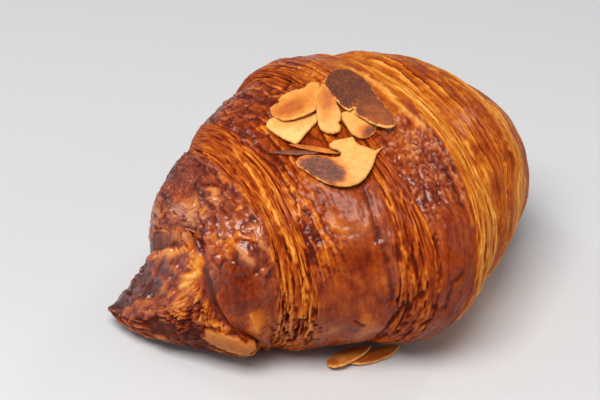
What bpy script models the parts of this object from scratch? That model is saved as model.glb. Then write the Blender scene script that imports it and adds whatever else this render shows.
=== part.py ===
# Almond croissant: one baked crescent of rolled dough, with six toasted almond slices lying on its
# crown and two more caught under its foot.
#
# Frame: +X runs along the crescent from one nose towards the other, -Y is the bulging outer side,
# the noses bend towards +Y, and +Z is up. The origin is on the floor, under the middle of the
# crust's box.
import math

import bmesh
import bpy
import numpy as np
from mathutils import Matrix, Vector
from mathutils.bvhtree import BVHTree

MM = 0.001

# ---- the roll, in millimetres ---------------------------------------------------------------
HALF_LENGTH = 61.8          # from the middle to a nose, along the bent axis
BEND = 0.546                # turn of the axis at a nose, radians: its even part
BEND_NOSE = 0.217           # and the part that only the ends take
FAR_NOSE_STRETCH = 1.30     # the +X nose is drawn out this much more than the other
INNER_FLATTEN = 0.82        # a nose's hollow side stands this much nearer the axis
AXIS_HEIGHT = 0.51          # height of the widest point, as a share of the roll's height
BELLY_DROP = 1.15           # depth of the underside before the tray flattens it, in axis heights
TRAY_BLEND = 1.6            # rounding where the flat underside begins
NOSE_LIFT = 4.6             # the tips curl up off the tray
LIFT_FROM = 0.55            # from this share of the half length outwards

# stations of the wrapped part, along the half length
STATIONS = (-0.80, -0.58, -0.35, 0.00, 0.35, 0.58, 0.80)
OUTER_WIDTH = (13.5, 29.0, 37.7, 52.0, 40.7, 34.3, 20.0)    # from the axis to the bulging side
INNER_WIDTH = (14.4, 25.6, 32.6, 38.6, 34.2, 28.0, 17.2)    # from the axis to the hollow side
HEIGHT = (34.5, 48.2, 55.6, 61.0, 58.8, 51.8, 38.4)

# the two noses: thin cones that come out from under the last wraps
NOSE_ROOT = 0.67            # where they are measured
NEAR_NOSE = (23.1, 33.1)    # half width and height there, -X end
FAR_NOSE = (23.3, 33.7)     # the same, +X end
NOSE_TAPER = (1.14, 1.26)   # how the width and the height fall off to the tip

# edges of the wraps around the roll: (degrees from the outer side over the crown, share of the
# half length). A wrap's cut edge is the strip between its inner and its outer line.
NEAR_CREASE = ((-60, .50), (-30, .545), (-6, .62), (16, .644), (49, .66), (62, .72), (76, .78),
               (130, .80), (180, .77), (225, .66))
FAR_CREASE = ((-90, .60), (0, .68), (60, .73), (120, .78), (180, .74), (225, .66))
EDGE_A = (((-90, -.34), (-20, -.357), (22, -.377), (66, -.405), (88, -.43), (125, -.48),
           (180, -.45), (225, -.38)),
          ((-90, -.44), (-25, -.469), (36, -.469), (65, -.508), (79, -.536), (119, -.585),
           (180, -.56), (225, -.49)))
EDGE_B = (((-90, -.08), (60, -.074), (180, -.07)),
          ((-90, -.16), (-19, -.173), (16, -.169), (47, -.146), (100, -.13), (180, -.14)))
EDGE_C = (((-90, .00), (5, .046), (29, .094), (54, .138), (81, .166), (102, .185), (180, .17),
           (225, .08)),
          ((-90, .18), (10, .204), (45, .225), (61, .250), (90, .253), (180, .24), (225, .20)))
EDGE_D = (((-90, .28), (9, .313), (29, .425), (56, .477), (80, .536), (130, .55), (180, .50),
           (225, .40)),
          ((-90, .44), (25, .53), (50, .59), (90, .62), (180, .60), (225, .52)))
# height of the wraps over the plain roll at those lines, from the -X crease to the +X crease
STEPS = (0.0, 0.9, -1.2, 0.7, 0.2, -0.9, 1.1, 1.5, 1.1, -0.9, 0.2, 0.7, -1.1, 0.0)
CREASE_DEPTH = 1.3
CREASE_WIDTH = 0.022
OVERHANG = 0.075            # length over which a last wrap rounds off onto its nose

RINGS = 88                  # facets along the roll
SECTORS = 36                # facets around it

# ---- the almond slices, in millimetres --------------------------------------------------------
SLICE_THICK = 0.9
GAP = 0.36                  # clearance under a lying slice
# name: (place along, degrees around), offset along and around, turn of the long axis, length,
# width, taper, breaks as (direction, distance, raggedness), bites as (x, y, radius), and the
# share of the crust's bend that the slice follows. In the order they were laid down.
CROWN_SLICES = {
    "flake_fan_lower": ((-.26, 80), (0.4, -0.9), -6, 13.2, 12.6, -.03,
                        ((200, 5.2, .3), (-50, 4.3, .3), (-109, 5.7, .2), (91, 4.2, .2),
                         (-13, 5.4, .1)), (), 0.7),
    "flake_fan_small": ((-.06, 74), (-0.3, -2.4), -68, 9.9, 7.4, -.21,
                        ((-83, 4.6, .3), (7, 4.2, .2), (75, 1.8, .2)), (), 0.7),
    "flake_broken": ((-.20, 60), (-0.9, -0.4), -13, 18.6, 13.9, -.12,
                     ((91, 7.2, .35),), ((-3.7, 5.4, 4.2),), 0.5),
    "flake_fan_upper": ((-.19, 91), (0.7, -1.8), 23, 18.4, 11.3, -.12,
                        ((180, 8.6, .5), (101, 5.3, .3), (-18, 8.3, .2), (-50, 4.6, .1)), (), 0.5),
    "flake_fan_slim": ((-.13, 79), (0.8, -0.5), 69, 16.1, 5.2, .01,
                       ((181, 5.5, .25), (-5, 7.7, .2)), (), 0.6),
    "flake_dark_whole": ((.02, 82), (-3.0, -3.5), -99, 27.5, 9.3, .05, (), (), 0.6),
}
# name: centre on the floor, turn, length, width, height of its bow. In the order they fell.
FOOT_SLICES = {
    "flake_foot_far": ((-11.2, -32.8), -11, 15.6, 4.6, 0.35),
    "flake_foot_near": ((-17.6, -29.4), -8, 12.8, 5.4, 0.20),
}
SPOKES = 36                 # facets around a slice

COLOURS = {
    "crust": (0.36, 0.115, 0.022, 0.42),
    "almond_toasted": (0.66, 0.33, 0.10, 0.55),
    "almond_dark": (0.12, 0.050, 0.028, 0.60),
}


def smooth_curve(x, xs, ys):
    """Smooth curve through stations that never overshoots them."""
    xs, ys = np.asarray(xs, float), np.asarray(ys, float)
    h = np.diff(xs)
    slope = np.diff(ys) / h
    tangent = np.zeros_like(ys)
    for i in range(1, len(xs) - 1):
        if slope[i - 1] * slope[i] > 0:
            w1, w2 = 2 * h[i] + h[i - 1], h[i] + 2 * h[i - 1]
            tangent[i] = (w1 + w2) / (w1 / slope[i - 1] + w2 / slope[i])
    tangent[0], tangent[-1] = slope[0], slope[-1]
    k = np.clip(np.searchsorted(xs, x, side="right") - 1, 0, len(h) - 1)
    t = np.clip((x - xs[k]) / h[k], 0, 1)
    return ((2 * t**3 - 3 * t**2 + 1) * ys[k] + (t**3 - 2 * t**2 + t) * h[k] * tangent[k]
            + (-2 * t**3 + 3 * t**2) * ys[k + 1] + (t**3 - t**2) * h[k] * tangent[k + 1])


def around(theta, line):
    """A line drawn around the roll: its place along the roll at the angle theta."""
    at, value = [p[0] for p in line], [p[1] for p in line]
    at = [at[-2] - 360, at[-1] - 360] + at + [at[0] + 360, at[1] + 360]
    value = value[-2:] + value + value[:2]
    return smooth_curve((np.degrees(theta) + 90) % 360 - 90, at, value)


def soft_max(a, b, k):
    h = np.maximum(k - np.abs(a - b), 0) / k
    return np.maximum(a, b) + h * h * k / 4


def axis_line():
    """The bent axis on the floor: place and heading at each share of the half length."""
    s = np.linspace(-1, 1, 801)
    turn = BEND * s + BEND_NOSE * s**3
    stretch = 1 + (FAR_NOSE_STRETCH - 1) * np.clip((s - 0.60) / 0.12, 0, 1)
    step = (s[1] - s[0]) * HALF_LENGTH / 2 * (stretch[1:] + stretch[:-1]) / 2
    x = np.concatenate([[0], np.cumsum((np.cos(turn[1:]) + np.cos(turn[:-1])) * step)])
    y = np.concatenate([[0], np.cumsum((np.sin(turn[1:]) + np.sin(turn[:-1])) * step)])
    return s, x - np.interp(0, s, x), y - np.interp(0, s, y), turn


def wraps(s, theta):
    """How far the wraps of dough stand out of the plain roll, in millimetres."""
    a, b, c, d = [[around(theta, line) for line in edge]
                  for edge in (EDGE_A, EDGE_B, EDGE_C, EDGE_D)]
    near, far = -around(theta, NEAR_CREASE), around(theta, FAR_CREASE)
    lines = [near, (near + a[1]) / 2, a[1], a[0], (a[0] + b[1]) / 2, b[1], b[0],
             (b[0] + c[0]) / 2, c[0], c[1], (c[1] + d[0]) / 2, d[0], d[1], far]
    out = np.zeros(s.shape)
    for i in range(len(lines) - 1):
        t = np.clip((s - lines[i]) / (lines[i + 1] - lines[i]), 0, 1)
        inside = (s >= lines[i]) & (s < lines[i + 1])
        out = np.where(inside, STEPS[i] + (STEPS[i + 1] - STEPS[i]) * t * t * (3 - 2 * t), out)
    return out


def crust_point(s, theta):
    """A point of the crust: share of the half length, and angle around the roll."""
    s, theta = np.broadcast_arrays(np.asarray(s, float), np.asarray(theta, float))
    at, ax, ay, aturn = axis_line()
    x, y, turn = (np.interp(s, at, v) for v in (ax, ay, aturn))
    near = s < 0
    # the noses
    share = np.clip((1 - np.abs(s)) / (1 - NOSE_ROOT), 0, 1.35)
    nose_width = np.where(near, NEAR_NOSE[0], FAR_NOSE[0]) * share ** NOSE_TAPER[0] + 0.6
    nose_height = np.where(near, NEAR_NOSE[1], FAR_NOSE[1]) * share ** NOSE_TAPER[1] + 1.2
    # the wrapped part, and how it rounds off onto them at the creases
    inner = np.cos(theta) < 0
    width = np.where(inner, smooth_curve(s, STATIONS, INNER_WIDTH),
                     smooth_curve(s, STATIONS, OUTER_WIDTH))
    nose_width = np.where(inner, nose_width * INNER_FLATTEN, nose_width)
    height = smooth_curve(s, STATIONS, HEIGHT)
    crease = np.where(near, around(theta, NEAR_CREASE), around(theta, FAR_CREASE))
    t = np.clip((crease + 0.4 * OVERHANG - np.abs(s)) / OVERHANG, 0, 1)
    cover = np.sqrt(1 - (1 - t) ** 2)
    u = np.clip((np.abs(s) - 0.50) / 0.30, 0, 1)
    u = u * u * (3 - 2 * u)
    middle = AXIS_HEIGHT * (height * (1 - u) + np.minimum(nose_height, height) * u)
    half = nose_width + cover * (width - nose_width)
    top = nose_height + cover * (height - nose_height)
    d = (np.abs(s) - crease - 0.55 * CREASE_WIDTH) / CREASE_WIDTH
    end = np.clip((1 - np.abs(s)) / 0.12, 0, 1)
    grow = (wraps(s, theta) - CREASE_DEPTH * np.exp(-d * d)) * end * (2 - end)
    across = np.cos(theta) * (half + grow)
    rise = np.where(np.sin(theta) > 0, top - middle, middle * BELLY_DROP) + grow
    z = soft_max(middle + rise * np.sin(theta), 0.0, TRAY_BLEND)
    z = z + NOSE_LIFT * np.clip((np.abs(s) - LIFT_FROM) / (1 - LIFT_FROM), 0, 1) ** 1.5
    return np.stack([x + across * np.sin(turn), y - across * np.cos(turn), z], axis=-1)


def material(name):
    r, g, b, rough = COLOURS[name]
    mat = bpy.data.materials.new(name)
    mat.use_nodes = True
    shader = mat.node_tree.nodes["Principled BSDF"]
    shader.inputs["Base Color"].default_value = (r, g, b, 1)
    shader.inputs["Roughness"].default_value = rough
    shader.inputs["Metallic"].default_value = 0
    return mat


def add_object(name, bm, collection, mat):
    mesh = bpy.data.meshes.new(name)
    bmesh.ops.triangulate(bm, faces=bm.faces[:])
    if bm.calc_volume(signed=True) < 0:
        bmesh.ops.reverse_faces(bm, faces=bm.faces[:])
    bm.to_mesh(mesh)
    bm.free()
    mesh.shade_smooth()
    mesh.set_sharp_from_angle(angle=math.radians(50))
    mesh.materials.append(mat)
    obj = bpy.data.objects.new(name, mesh)
    collection.objects.link(obj)
    return obj


def make_crust(collection, mat):
    """A sphere laid along the axis: its latitude runs from nose to nose, its longitude around."""
    bm = bmesh.new()
    bmesh.ops.create_uvsphere(bm, u_segments=SECTORS, v_segments=RINGS, radius=1.0)
    place = np.array([v.co[:] for v in bm.verts])
    latitude = np.arcsin(np.clip(place[:, 2], -1, 1)) / (math.pi / 2)
    s = 0.7 * latitude + 0.3 * np.sin(latitude * math.pi / 2)
    theta = np.arctan2(place[:, 1], place[:, 0])
    points = crust_point(s, theta)
    for pole in (-1.0, 1.0):
        tip = crust_point(pole, np.linspace(0, 2 * np.pi, 16, endpoint=False)).mean(axis=0)
        points[np.abs(s - pole) < 1e-4] = tip
    low, high = points.min(axis=0), points.max(axis=0)
    points[:, :2] -= (low[:2] + high[:2]) / 2
    for v, p in zip(bm.verts, points):
        v.co = Vector(p) * MM
    shift = Vector((-(low[0] + high[0]) / 2, -(low[1] + high[1]) / 2, 0))
    return add_object("croissant", bm, collection, mat), shift


def slice_outline(phi, length, width, taper, breaks, bites):
    """Outline of an almond slice in polar form, less what broke off it."""
    c, s = math.cos(phi), math.sin(phi)
    a, b = length / 2, width / 2 * (1 - taper * c)
    r = 1 / (abs(c / a) ** 2.1 + abs(s / b) ** 2.1) ** (1 / 2.1)
    for direction, distance, ragged in breaks:
        along = math.cos(phi - math.radians(direction))
        if along > 0.05:
            edge = distance + ragged * (math.sin(5 * phi + direction)
                                        + 0.6 * math.sin(11 * phi + 2 * direction))
            r = min(r, edge / along)
    for bx, by, radius in bites:
        toward = c * bx + s * by
        inside = toward**2 - (bx * bx + by * by - radius * radius)
        if inside > 0 and toward > 0:
            r = min(r, toward - math.sqrt(inside))
    return r


def slice_mesh(outline, place):
    """A thin slice with a rounded rim; place(x, y, z) puts its own coordinates where it lies."""
    bm = bmesh.new()
    phi = [2 * math.pi * i / SPOKES for i in range(SPOKES)]
    edge = [outline(p) for p in phi]
    half = SLICE_THICK / 2
    rim = [bm.verts.new(place(r * math.cos(p), r * math.sin(p), 0.0)) for r, p in zip(edge, phi)]
    for side in (half, -half):
        centre = bm.verts.new(place(0.0, 0.0, side))
        loops = [[bm.verts.new(place((r * share - inset) * math.cos(p),
                                     (r * share - inset) * math.sin(p), side))
                  for r, p in zip(edge, phi)] for share, inset in ((0.55, 0.0), (1.0, 0.2))]
        for i in range(SPOKES):
            j = (i + 1) % SPOKES
            faces = [(centre, loops[0][i], loops[0][j]),
                     (loops[0][i], loops[1][i], loops[1][j], loops[0][j]),
                     (loops[1][i], rim[i], rim[j], loops[1][j])]
            for face in faces:
                bm.faces.new(face if side > 0 else face[::-1])
    return bm


def resting_place(outline, frame, bend, support, start_height=30.0):
    """Lower a stiff slice onto what lies under it: the tilt that brings its middle lowest."""
    samples = []
    for i in range(72):
        p = 2 * math.pi * i / 72
        r = outline(p)
        for share in (0.2, 0.4, 0.6, 0.75, 0.9, 1.0, 1.06):
            samples.append((r * share * math.cos(p), r * share * math.sin(p)))
    down = -frame.col[2].to_3d()
    ground = []
    for x, y in samples:
        start = frame @ Vector((x, y, start_height))
        best = -start_height
        for tree in support:
            hit = tree.ray_cast(start, down, 2 * start_height)
            if hit[0] is not None:
                best = max(best, start_height - hit[3])
        ground.append(best)
    samples, ground = np.array(samples), np.array(ground)
    bow = bend[0] * samples[:, 0] ** 2 + bend[1] * samples[:, 1] ** 2
    best = None
    for tilt_x in np.linspace(-0.30, 0.30, 61):
        for tilt_y in np.linspace(-0.40, 0.40, 81):
            need = (ground + bow - tilt_x * samples[:, 0] - tilt_y * samples[:, 1]).max()
            if best is None or need < best[0]:
                best = (need, tilt_x, tilt_y)
    return best


def crown_slice(name, spec, shift, support, collection, mat):
    (s0, degrees), (off_x, off_y), turn, length, width, taper, breaks, bites, follow = spec
    theta0 = math.radians(degrees)
    # the crust's own frame here, taken over a patch the size of the slice
    base = Vector(crust_point(s0, theta0))
    reach_s, reach_t = 7.0 / HALF_LENGTH, 7.0 / 50.0
    along = Vector(crust_point(s0 + reach_s, theta0) - crust_point(s0 - reach_s, theta0))
    turnwise = Vector(crust_point(s0, theta0 + reach_t) - crust_point(s0, theta0 - reach_t))
    normal = along.cross(turnwise).normalized()
    if normal.z < 0:
        normal.negate()
    along = (along - normal * along.dot(normal)).normalized()
    side = normal.cross(along)
    angle = math.radians(turn)
    long_way = along * math.cos(angle) + side * math.sin(angle)
    cross_way = normal.cross(long_way)
    origin = base + along * off_x + side * off_y + shift
    frame = Matrix((long_way, cross_way, normal)).transposed().to_4x4()
    frame.translation = origin

    def outline(phi):
        return slice_outline(phi, length, width, taper, breaks, bites)

    # the crust bends about 1 mm in 10 along the roll's section and half that lengthways
    round_section = 1 / (2 * 58.0) * follow
    lengthways = 1 / (2 * 150.0) * follow
    share = abs(math.sin(angle))
    bend = (round_section * share**2 + lengthways * (1 - share**2),
            round_section * (1 - share**2) + lengthways * share**2)
    height, tilt_x, tilt_y = resting_place(outline, frame, bend, support)

    def place(x, y, z):
        level = height + tilt_x * x + tilt_y * y - bend[0] * x * x - bend[1] * y * y
        return frame @ Vector((x, y, level + GAP + SLICE_THICK / 2 + z)) * MM

    bm = slice_mesh(outline, place)
    obj = add_object(name, bm, collection, mat)
    return obj


def foot_slice(name, spec, shift, support, collection, mat):
    (x0, y0), turn, length, width, bow = spec
    frame = Matrix.Translation(Vector((x0, y0, 0)) + shift) @ Matrix.Rotation(
        math.radians(turn), 4, "Z")
    bend = (-bow / (length / 2) ** 2, 0.0)          # its two ends turn up

    def outline(phi):
        return slice_outline(phi, length, width, 0.1, ((172, length * 0.43, 0.15),), ())

    height, tilt_x, tilt_y = resting_place(outline, frame, bend, support, 8.0)

    def place(x, y, z):
        level = height + tilt_x * x + tilt_y * y - bend[0] * x * x
        return frame @ Vector((x, y, level + GAP + SLICE_THICK / 2 + z)) * MM

    return add_object(name, slice_mesh(outline, place), collection, mat)


def tree_of(obj):
    points = [v.co / MM for v in obj.data.vertices]
    return BVHTree.FromPolygons(points, [tuple(p.vertices) for p in obj.data.polygons])


def build():
    for obj in list(bpy.data.objects):
        bpy.data.objects.remove(obj, do_unlink=True)
    collection = bpy.data.collections.new("almond_croissant")
    bpy.context.scene.collection.children.link(collection)
    crust_mat = material("crust")
    toasted, dark = material("almond_toasted"), material("almond_dark")
    crust, shift = make_crust(collection, crust_mat)
    support = [tree_of(crust)]
    for name, spec in CROWN_SLICES.items():
        mat = dark if "dark" in name else toasted
        support.append(tree_of(crown_slice(name, spec, shift, support, collection, mat)))
    floor = [Vector((x, y, -GAP)) for x, y in ((-99, -99), (99, -99), (99, 99), (-99, 99))]
    support = [BVHTree.FromPolygons(floor, [(0, 1, 2, 3)])]
    for name, spec in FOOT_SLICES.items():
        support.append(tree_of(foot_slice(name, spec, shift, support, collection, toasted)))


build()
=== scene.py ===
import math

import bpy
import numpy as np
from mathutils import Matrix, Vector
from mathutils.bvhtree import BVHTree
from mathutils.geometry import delaunay_2d_cdt


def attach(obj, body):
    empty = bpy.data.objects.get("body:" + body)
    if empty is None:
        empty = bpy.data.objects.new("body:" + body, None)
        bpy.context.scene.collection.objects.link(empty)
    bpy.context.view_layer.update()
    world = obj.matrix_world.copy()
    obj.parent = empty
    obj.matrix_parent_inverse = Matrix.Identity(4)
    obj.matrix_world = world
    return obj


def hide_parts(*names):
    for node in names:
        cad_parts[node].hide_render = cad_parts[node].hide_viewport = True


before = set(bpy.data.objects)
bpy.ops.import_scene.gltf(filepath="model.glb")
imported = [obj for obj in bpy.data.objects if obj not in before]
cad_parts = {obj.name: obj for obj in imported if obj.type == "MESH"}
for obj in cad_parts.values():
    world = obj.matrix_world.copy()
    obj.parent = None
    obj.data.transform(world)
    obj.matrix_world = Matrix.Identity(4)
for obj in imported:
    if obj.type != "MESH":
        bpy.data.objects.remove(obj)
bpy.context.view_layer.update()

MM = 0.001

# =================================================================================================
# The roll: the same surface as the construction's, in millimetres
# =================================================================================================
HALF_LENGTH = 61.8
BEND = 0.546
BEND_NOSE = 0.217
FAR_NOSE_STRETCH = 1.30
INNER_FLATTEN = 0.82
AXIS_HEIGHT = 0.51
BELLY_DROP = 1.15
TRAY_BLEND = 1.6
NOSE_LIFT = 4.6
LIFT_FROM = 0.55
STATIONS = (-0.80, -0.58, -0.35, 0.00, 0.35, 0.58, 0.80)
OUTER_WIDTH = (13.5, 29.0, 37.7, 52.0, 40.7, 34.3, 20.0)
INNER_WIDTH = (14.4, 25.6, 32.6, 38.6, 34.2, 28.0, 17.2)
HEIGHT = (34.5, 48.2, 55.6, 61.0, 58.8, 51.8, 38.4)
NOSE_ROOT = 0.67
NEAR_NOSE = (23.1, 33.1)
FAR_NOSE = (23.3, 33.7)
NOSE_TAPER = (1.14, 1.26)
NEAR_CREASE = ((-60, .46), (-34, .48), (-24, .53), (-12, .598), (4, .633), (16, .642), (40, .650), (51, .668), (60, .712),
               (68, .750), (77, .785), (130, .80), (180, .77), (225, .66))
FAR_CREASE = ((-90, .60), (0, .68), (60, .73), (120, .78), (180, .74), (225, .66))
EDGE_A = (((-90, -.34), (-20, -.357), (22, -.377), (66, -.405), (88, -.43), (125, -.48),
           (180, -.45), (225, -.38)),
          ((-90, -.44), (-25, -.469), (36, -.469), (65, -.508), (79, -.536), (119, -.585),
           (180, -.56), (225, -.49)))
EDGE_B = (((-90, -.08), (60, -.074), (180, -.07)),
          ((-90, -.16), (-19, -.173), (16, -.169), (47, -.146), (100, -.13), (180, -.14)))
EDGE_C = (((-90, .00), (5, .046), (29, .094), (54, .138), (81, .166), (102, .185), (180, .17),
           (225, .08)),
          ((-90, .18), (10, .204), (45, .225), (61, .250), (90, .253), (180, .24), (225, .20)))
EDGE_D = (((-90, .28), (9, .313), (29, .425), (56, .477), (80, .536), (130, .55), (180, .50),
           (225, .40)),
          ((-90, .44), (25, .53), (50, .59), (90, .62), (180, .60), (225, .52)))
STEPS = (0.0, 0.9, -1.2, 0.7, 0.2, -0.9, 1.1, 1.5, 1.1, -0.9, 0.2, 0.7, -1.1, 0.0)
CREASE_DEPTH = 1.3
CREASE_WIDTH = 0.022
OVERHANG = 0.060
ROOT_RISE = 6.2                             # the near nose swells where it comes out of its lobe
SHIFT = np.array([-2.621, 6.713, 0.0])      # middle of the roll's box in plan, on the floor

# grid of the visual crust
FINE, COARSE, WALL = (0.17, 0.30, 0.15)     # spacing along the roll: strips, elsewhere, lobes' fronts


def smooth_curve(x, xs, ys):
    """Smooth curve through stations that never overshoots them."""
    xs, ys = np.asarray(xs, float), np.asarray(ys, float)
    h = np.diff(xs)
    slope = np.diff(ys) / h
    tangent = np.zeros_like(ys)
    for i in range(1, len(xs) - 1):
        if slope[i - 1] * slope[i] > 0:
            w1, w2 = 2 * h[i] + h[i - 1], h[i] + 2 * h[i - 1]
            tangent[i] = (w1 + w2) / (w1 / slope[i - 1] + w2 / slope[i])
    tangent[0], tangent[-1] = slope[0], slope[-1]
    k = np.clip(np.searchsorted(xs, x, side="right") - 1, 0, len(h) - 1)
    t = np.clip((x - xs[k]) / h[k], 0, 1)
    return ((2 * t**3 - 3 * t**2 + 1) * ys[k] + (t**3 - 2 * t**2 + t) * h[k] * tangent[k]
            + (-2 * t**3 + 3 * t**2) * ys[k + 1] + (t**3 - t**2) * h[k] * tangent[k + 1])


def around(theta, line):
    """A line drawn around the roll: its place along the roll at the angle theta."""
    at, value = [p[0] for p in line], [p[1] for p in line]
    at = [at[-2] - 360, at[-1] - 360] + at + [at[0] + 360, at[1] + 360]
    value = value[-2:] + value + value[:2]
    return smooth_curve((np.degrees(theta) + 90) % 360 - 90, at, value)


def soft_max(a, b, k):
    h = np.maximum(k - np.abs(a - b), 0) / k
    return np.maximum(a, b) + h * h * k / 4


def smoothstep(a, b, x):
    t = np.clip((x - a) / (b - a), 0, 1)
    return t * t * (3 - 2 * t)


def axis_line():
    s = np.linspace(-1, 1, 801)
    turn = BEND * s + BEND_NOSE * s**3
    stretch = 1 + (FAR_NOSE_STRETCH - 1) * np.clip((s - 0.60) / 0.12, 0, 1)
    step = (s[1] - s[0]) * HALF_LENGTH / 2 * (stretch[1:] + stretch[:-1]) / 2
    x = np.concatenate([[0], np.cumsum((np.cos(turn[1:]) + np.cos(turn[:-1])) * step)])
    y = np.concatenate([[0], np.cumsum((np.sin(turn[1:]) + np.sin(turn[:-1])) * step)])
    return s, x - np.interp(0, s, x), y - np.interp(0, s, y), turn


def edge_lines(theta):
    """Places along the roll of the tips, the creases and the strips' edges, from -X to +X."""
    (a0, a1), (b0, b1), (c0, c1), (d0, d1) = [[around(theta, line) for line in edge]
                                              for edge in (EDGE_A, EDGE_B, EDGE_C, EDGE_D)]
    one = np.ones_like(a0)
    return np.stack([-one, -around(theta, NEAR_CREASE), a1, a0, b1, b0, c0, c1, d0, d1,
                     around(theta, FAR_CREASE), one])


def wraps(s, theta):
    """How far the wraps of dough stand out of the plain roll, in millimetres."""
    _, near, a1, a0, b1, b0, c0, c1, d0, d1, far, _ = edge_lines(theta)
    lines = [near, (near + a1) / 2, a1, a0, (a0 + b1) / 2, b1, b0,
             (b0 + c0) / 2, c0, c1, (c1 + d0) / 2, d0, d1, far]
    out = np.zeros(s.shape)
    for i in range(len(lines) - 1):
        t = np.clip((s - lines[i]) / (lines[i + 1] - lines[i]), 0, 1)
        inside = (s >= lines[i]) & (s < lines[i + 1])
        out = np.where(inside, STEPS[i] + (STEPS[i + 1] - STEPS[i]) * t * t * (3 - 2 * t), out)
    return out


def crust_point(s, theta):
    """A point of the crust: share of the half length, and angle around the roll."""
    s, theta = np.broadcast_arrays(np.asarray(s, float), np.asarray(theta, float))
    at, ax, ay, aturn = axis_line()
    x, y, turn = (np.interp(s, at, v) for v in (ax, ay, aturn))
    near = s < 0
    inner = np.cos(theta) < 0
    share = np.clip((1 - np.abs(s)) / (1 - NOSE_ROOT), 0, 1.35)
    nose_width = np.where(near, NEAR_NOSE[0], FAR_NOSE[0]) * share ** NOSE_TAPER[0] + 0.6
    nose_height = np.where(near, NEAR_NOSE[1], FAR_NOSE[1]) * share ** NOSE_TAPER[1] + 1.2
    nose_width = np.where(inner, nose_width * INNER_FLATTEN, nose_width)
    width = np.where(inner, smooth_curve(s, STATIONS, INNER_WIDTH),
                     smooth_curve(s, STATIONS, OUTER_WIDTH))
    height = smooth_curve(s, STATIONS, HEIGHT)
    crease = np.where(near, around(theta, NEAR_CREASE), around(theta, FAR_CREASE))
    t = np.clip((crease + 0.4 * OVERHANG - np.abs(s)) / OVERHANG, 0, 1)
    cover = np.sqrt(1 - (1 - t) ** 2)
    u = np.clip((np.abs(s) - 0.50) / 0.30, 0, 1)
    u = u * u * (3 - 2 * u)
    middle = AXIS_HEIGHT * (height * (1 - u) + np.minimum(nose_height, height) * u)
    half = nose_width + cover * (width - nose_width)
    top = nose_height + cover * (height - nose_height)
    d = (np.abs(s) - crease - 0.55 * CREASE_WIDTH) / CREASE_WIDTH
    end = np.clip((1 - np.abs(s)) / 0.12, 0, 1)
    grow = (wraps(s, theta) - CREASE_DEPTH * np.exp(-d * d)) * end * (2 - end)
    across = np.cos(theta) * (half + grow)
    rise = np.where(np.sin(theta) > 0, top - middle, middle * BELLY_DROP) + grow
    z = soft_max(middle + rise * np.sin(theta), 0.0, TRAY_BLEND)
    z = z + NOSE_LIFT * np.clip((np.abs(s) - LIFT_FROM) / (1 - LIFT_FROM), 0, 1) ** 1.5
    return np.stack([x + across * np.sin(turn), y - across * np.cos(turn), z], axis=-1)


# =================================================================================================
# Procedural fields
# =================================================================================================
def hashed(ix, iy, iz, seed):
    """A well mixed 32-bit number for each whole-number point."""
    h = (ix * 73856093) ^ (iy * 19349663) ^ (iz * 83492791) ^ (seed * 668265263 + 374761393)
    h = (h & 0xffffffff).astype(np.uint64)
    h = ((h ^ (h >> np.uint64(16))) * np.uint64(0x7feb352d)) & np.uint64(0xffffffff)
    h = ((h ^ (h >> np.uint64(15))) * np.uint64(0x846ca68b)) & np.uint64(0xffffffff)
    return h ^ (h >> np.uint64(16))


def noise(x, y, z, seed=0):
    """Gradient noise, about -1 to 1, with features one unit apart."""
    x, y, z = np.broadcast_arrays(*(np.asarray(v, float) for v in (x, y, z)))
    ix, iy, iz = (np.floor(v).astype(np.int64) for v in (x, y, z))
    fx, fy, fz = x - ix, y - iy, z - iz
    ux, uy, uz = (f * f * f * (f * (f * 6 - 15) + 10) for f in (fx, fy, fz))
    total = np.zeros(x.shape)
    for dx in (0, 1):
        wx = ux if dx else 1 - ux
        for dy in (0, 1):
            wy = uy if dy else 1 - uy
            for dz in (0, 1):
                wz = uz if dz else 1 - uz
                h = hashed(ix + dx, iy + dy, iz + dz, seed)
                gx = (h & np.uint64(1023)).astype(float) / 511.5 - 1
                gy = ((h >> np.uint64(10)) & np.uint64(1023)).astype(float) / 511.5 - 1
                gz = ((h >> np.uint64(20)) & np.uint64(1023)).astype(float) / 511.5 - 1
                total += wx * wy * wz * (gx * (fx - dx) + gy * (fy - dy) + gz * (fz - dz))
    return total * 1.7


def fractal(p, size, octaves=3, seed=0, gain=0.5):
    """Noise of a length in millimetres and its finer octaves."""
    total, amp, norm = 0, 1.0, 0.0
    for k in range(octaves):
        q = p / (size / 2**k)
        total = total + amp * noise(q[..., 0], q[..., 1], q[..., 2], seed + 13 * k)
        norm += amp
        amp *= gain
    return total / norm


def cells(p, size, seed=0):
    """Distances to the nearest two of scattered points, in cell sizes, and the nearest's number."""
    v = p / size
    base = np.floor(v).astype(np.int64)
    best = np.full(v.shape[:-1], 9.0)
    second = np.full(v.shape[:-1], 9.0)
    who = np.zeros(v.shape[:-1])
    for dx in (-1, 0, 1):
        for dy in (-1, 0, 1):
            for dz in (-1, 0, 1):
                i = base + np.array([dx, dy, dz])
                h = hashed(i[..., 0], i[..., 1], i[..., 2], seed)
                d = 0
                for k, bits in enumerate((0, 10, 20)):
                    at = i[..., k] + ((h >> np.uint64(bits)) & np.uint64(1023)).astype(float) / 1023
                    d = d + (v[..., k] - at) ** 2
                closer = d < best
                second = np.where(closer, best, np.minimum(second, d))
                who = np.where(closer, (h % np.uint64(1009)).astype(float) / 1009, who)
                best = np.where(closer, d, best)
    return np.sqrt(best), np.sqrt(second), who


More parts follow.
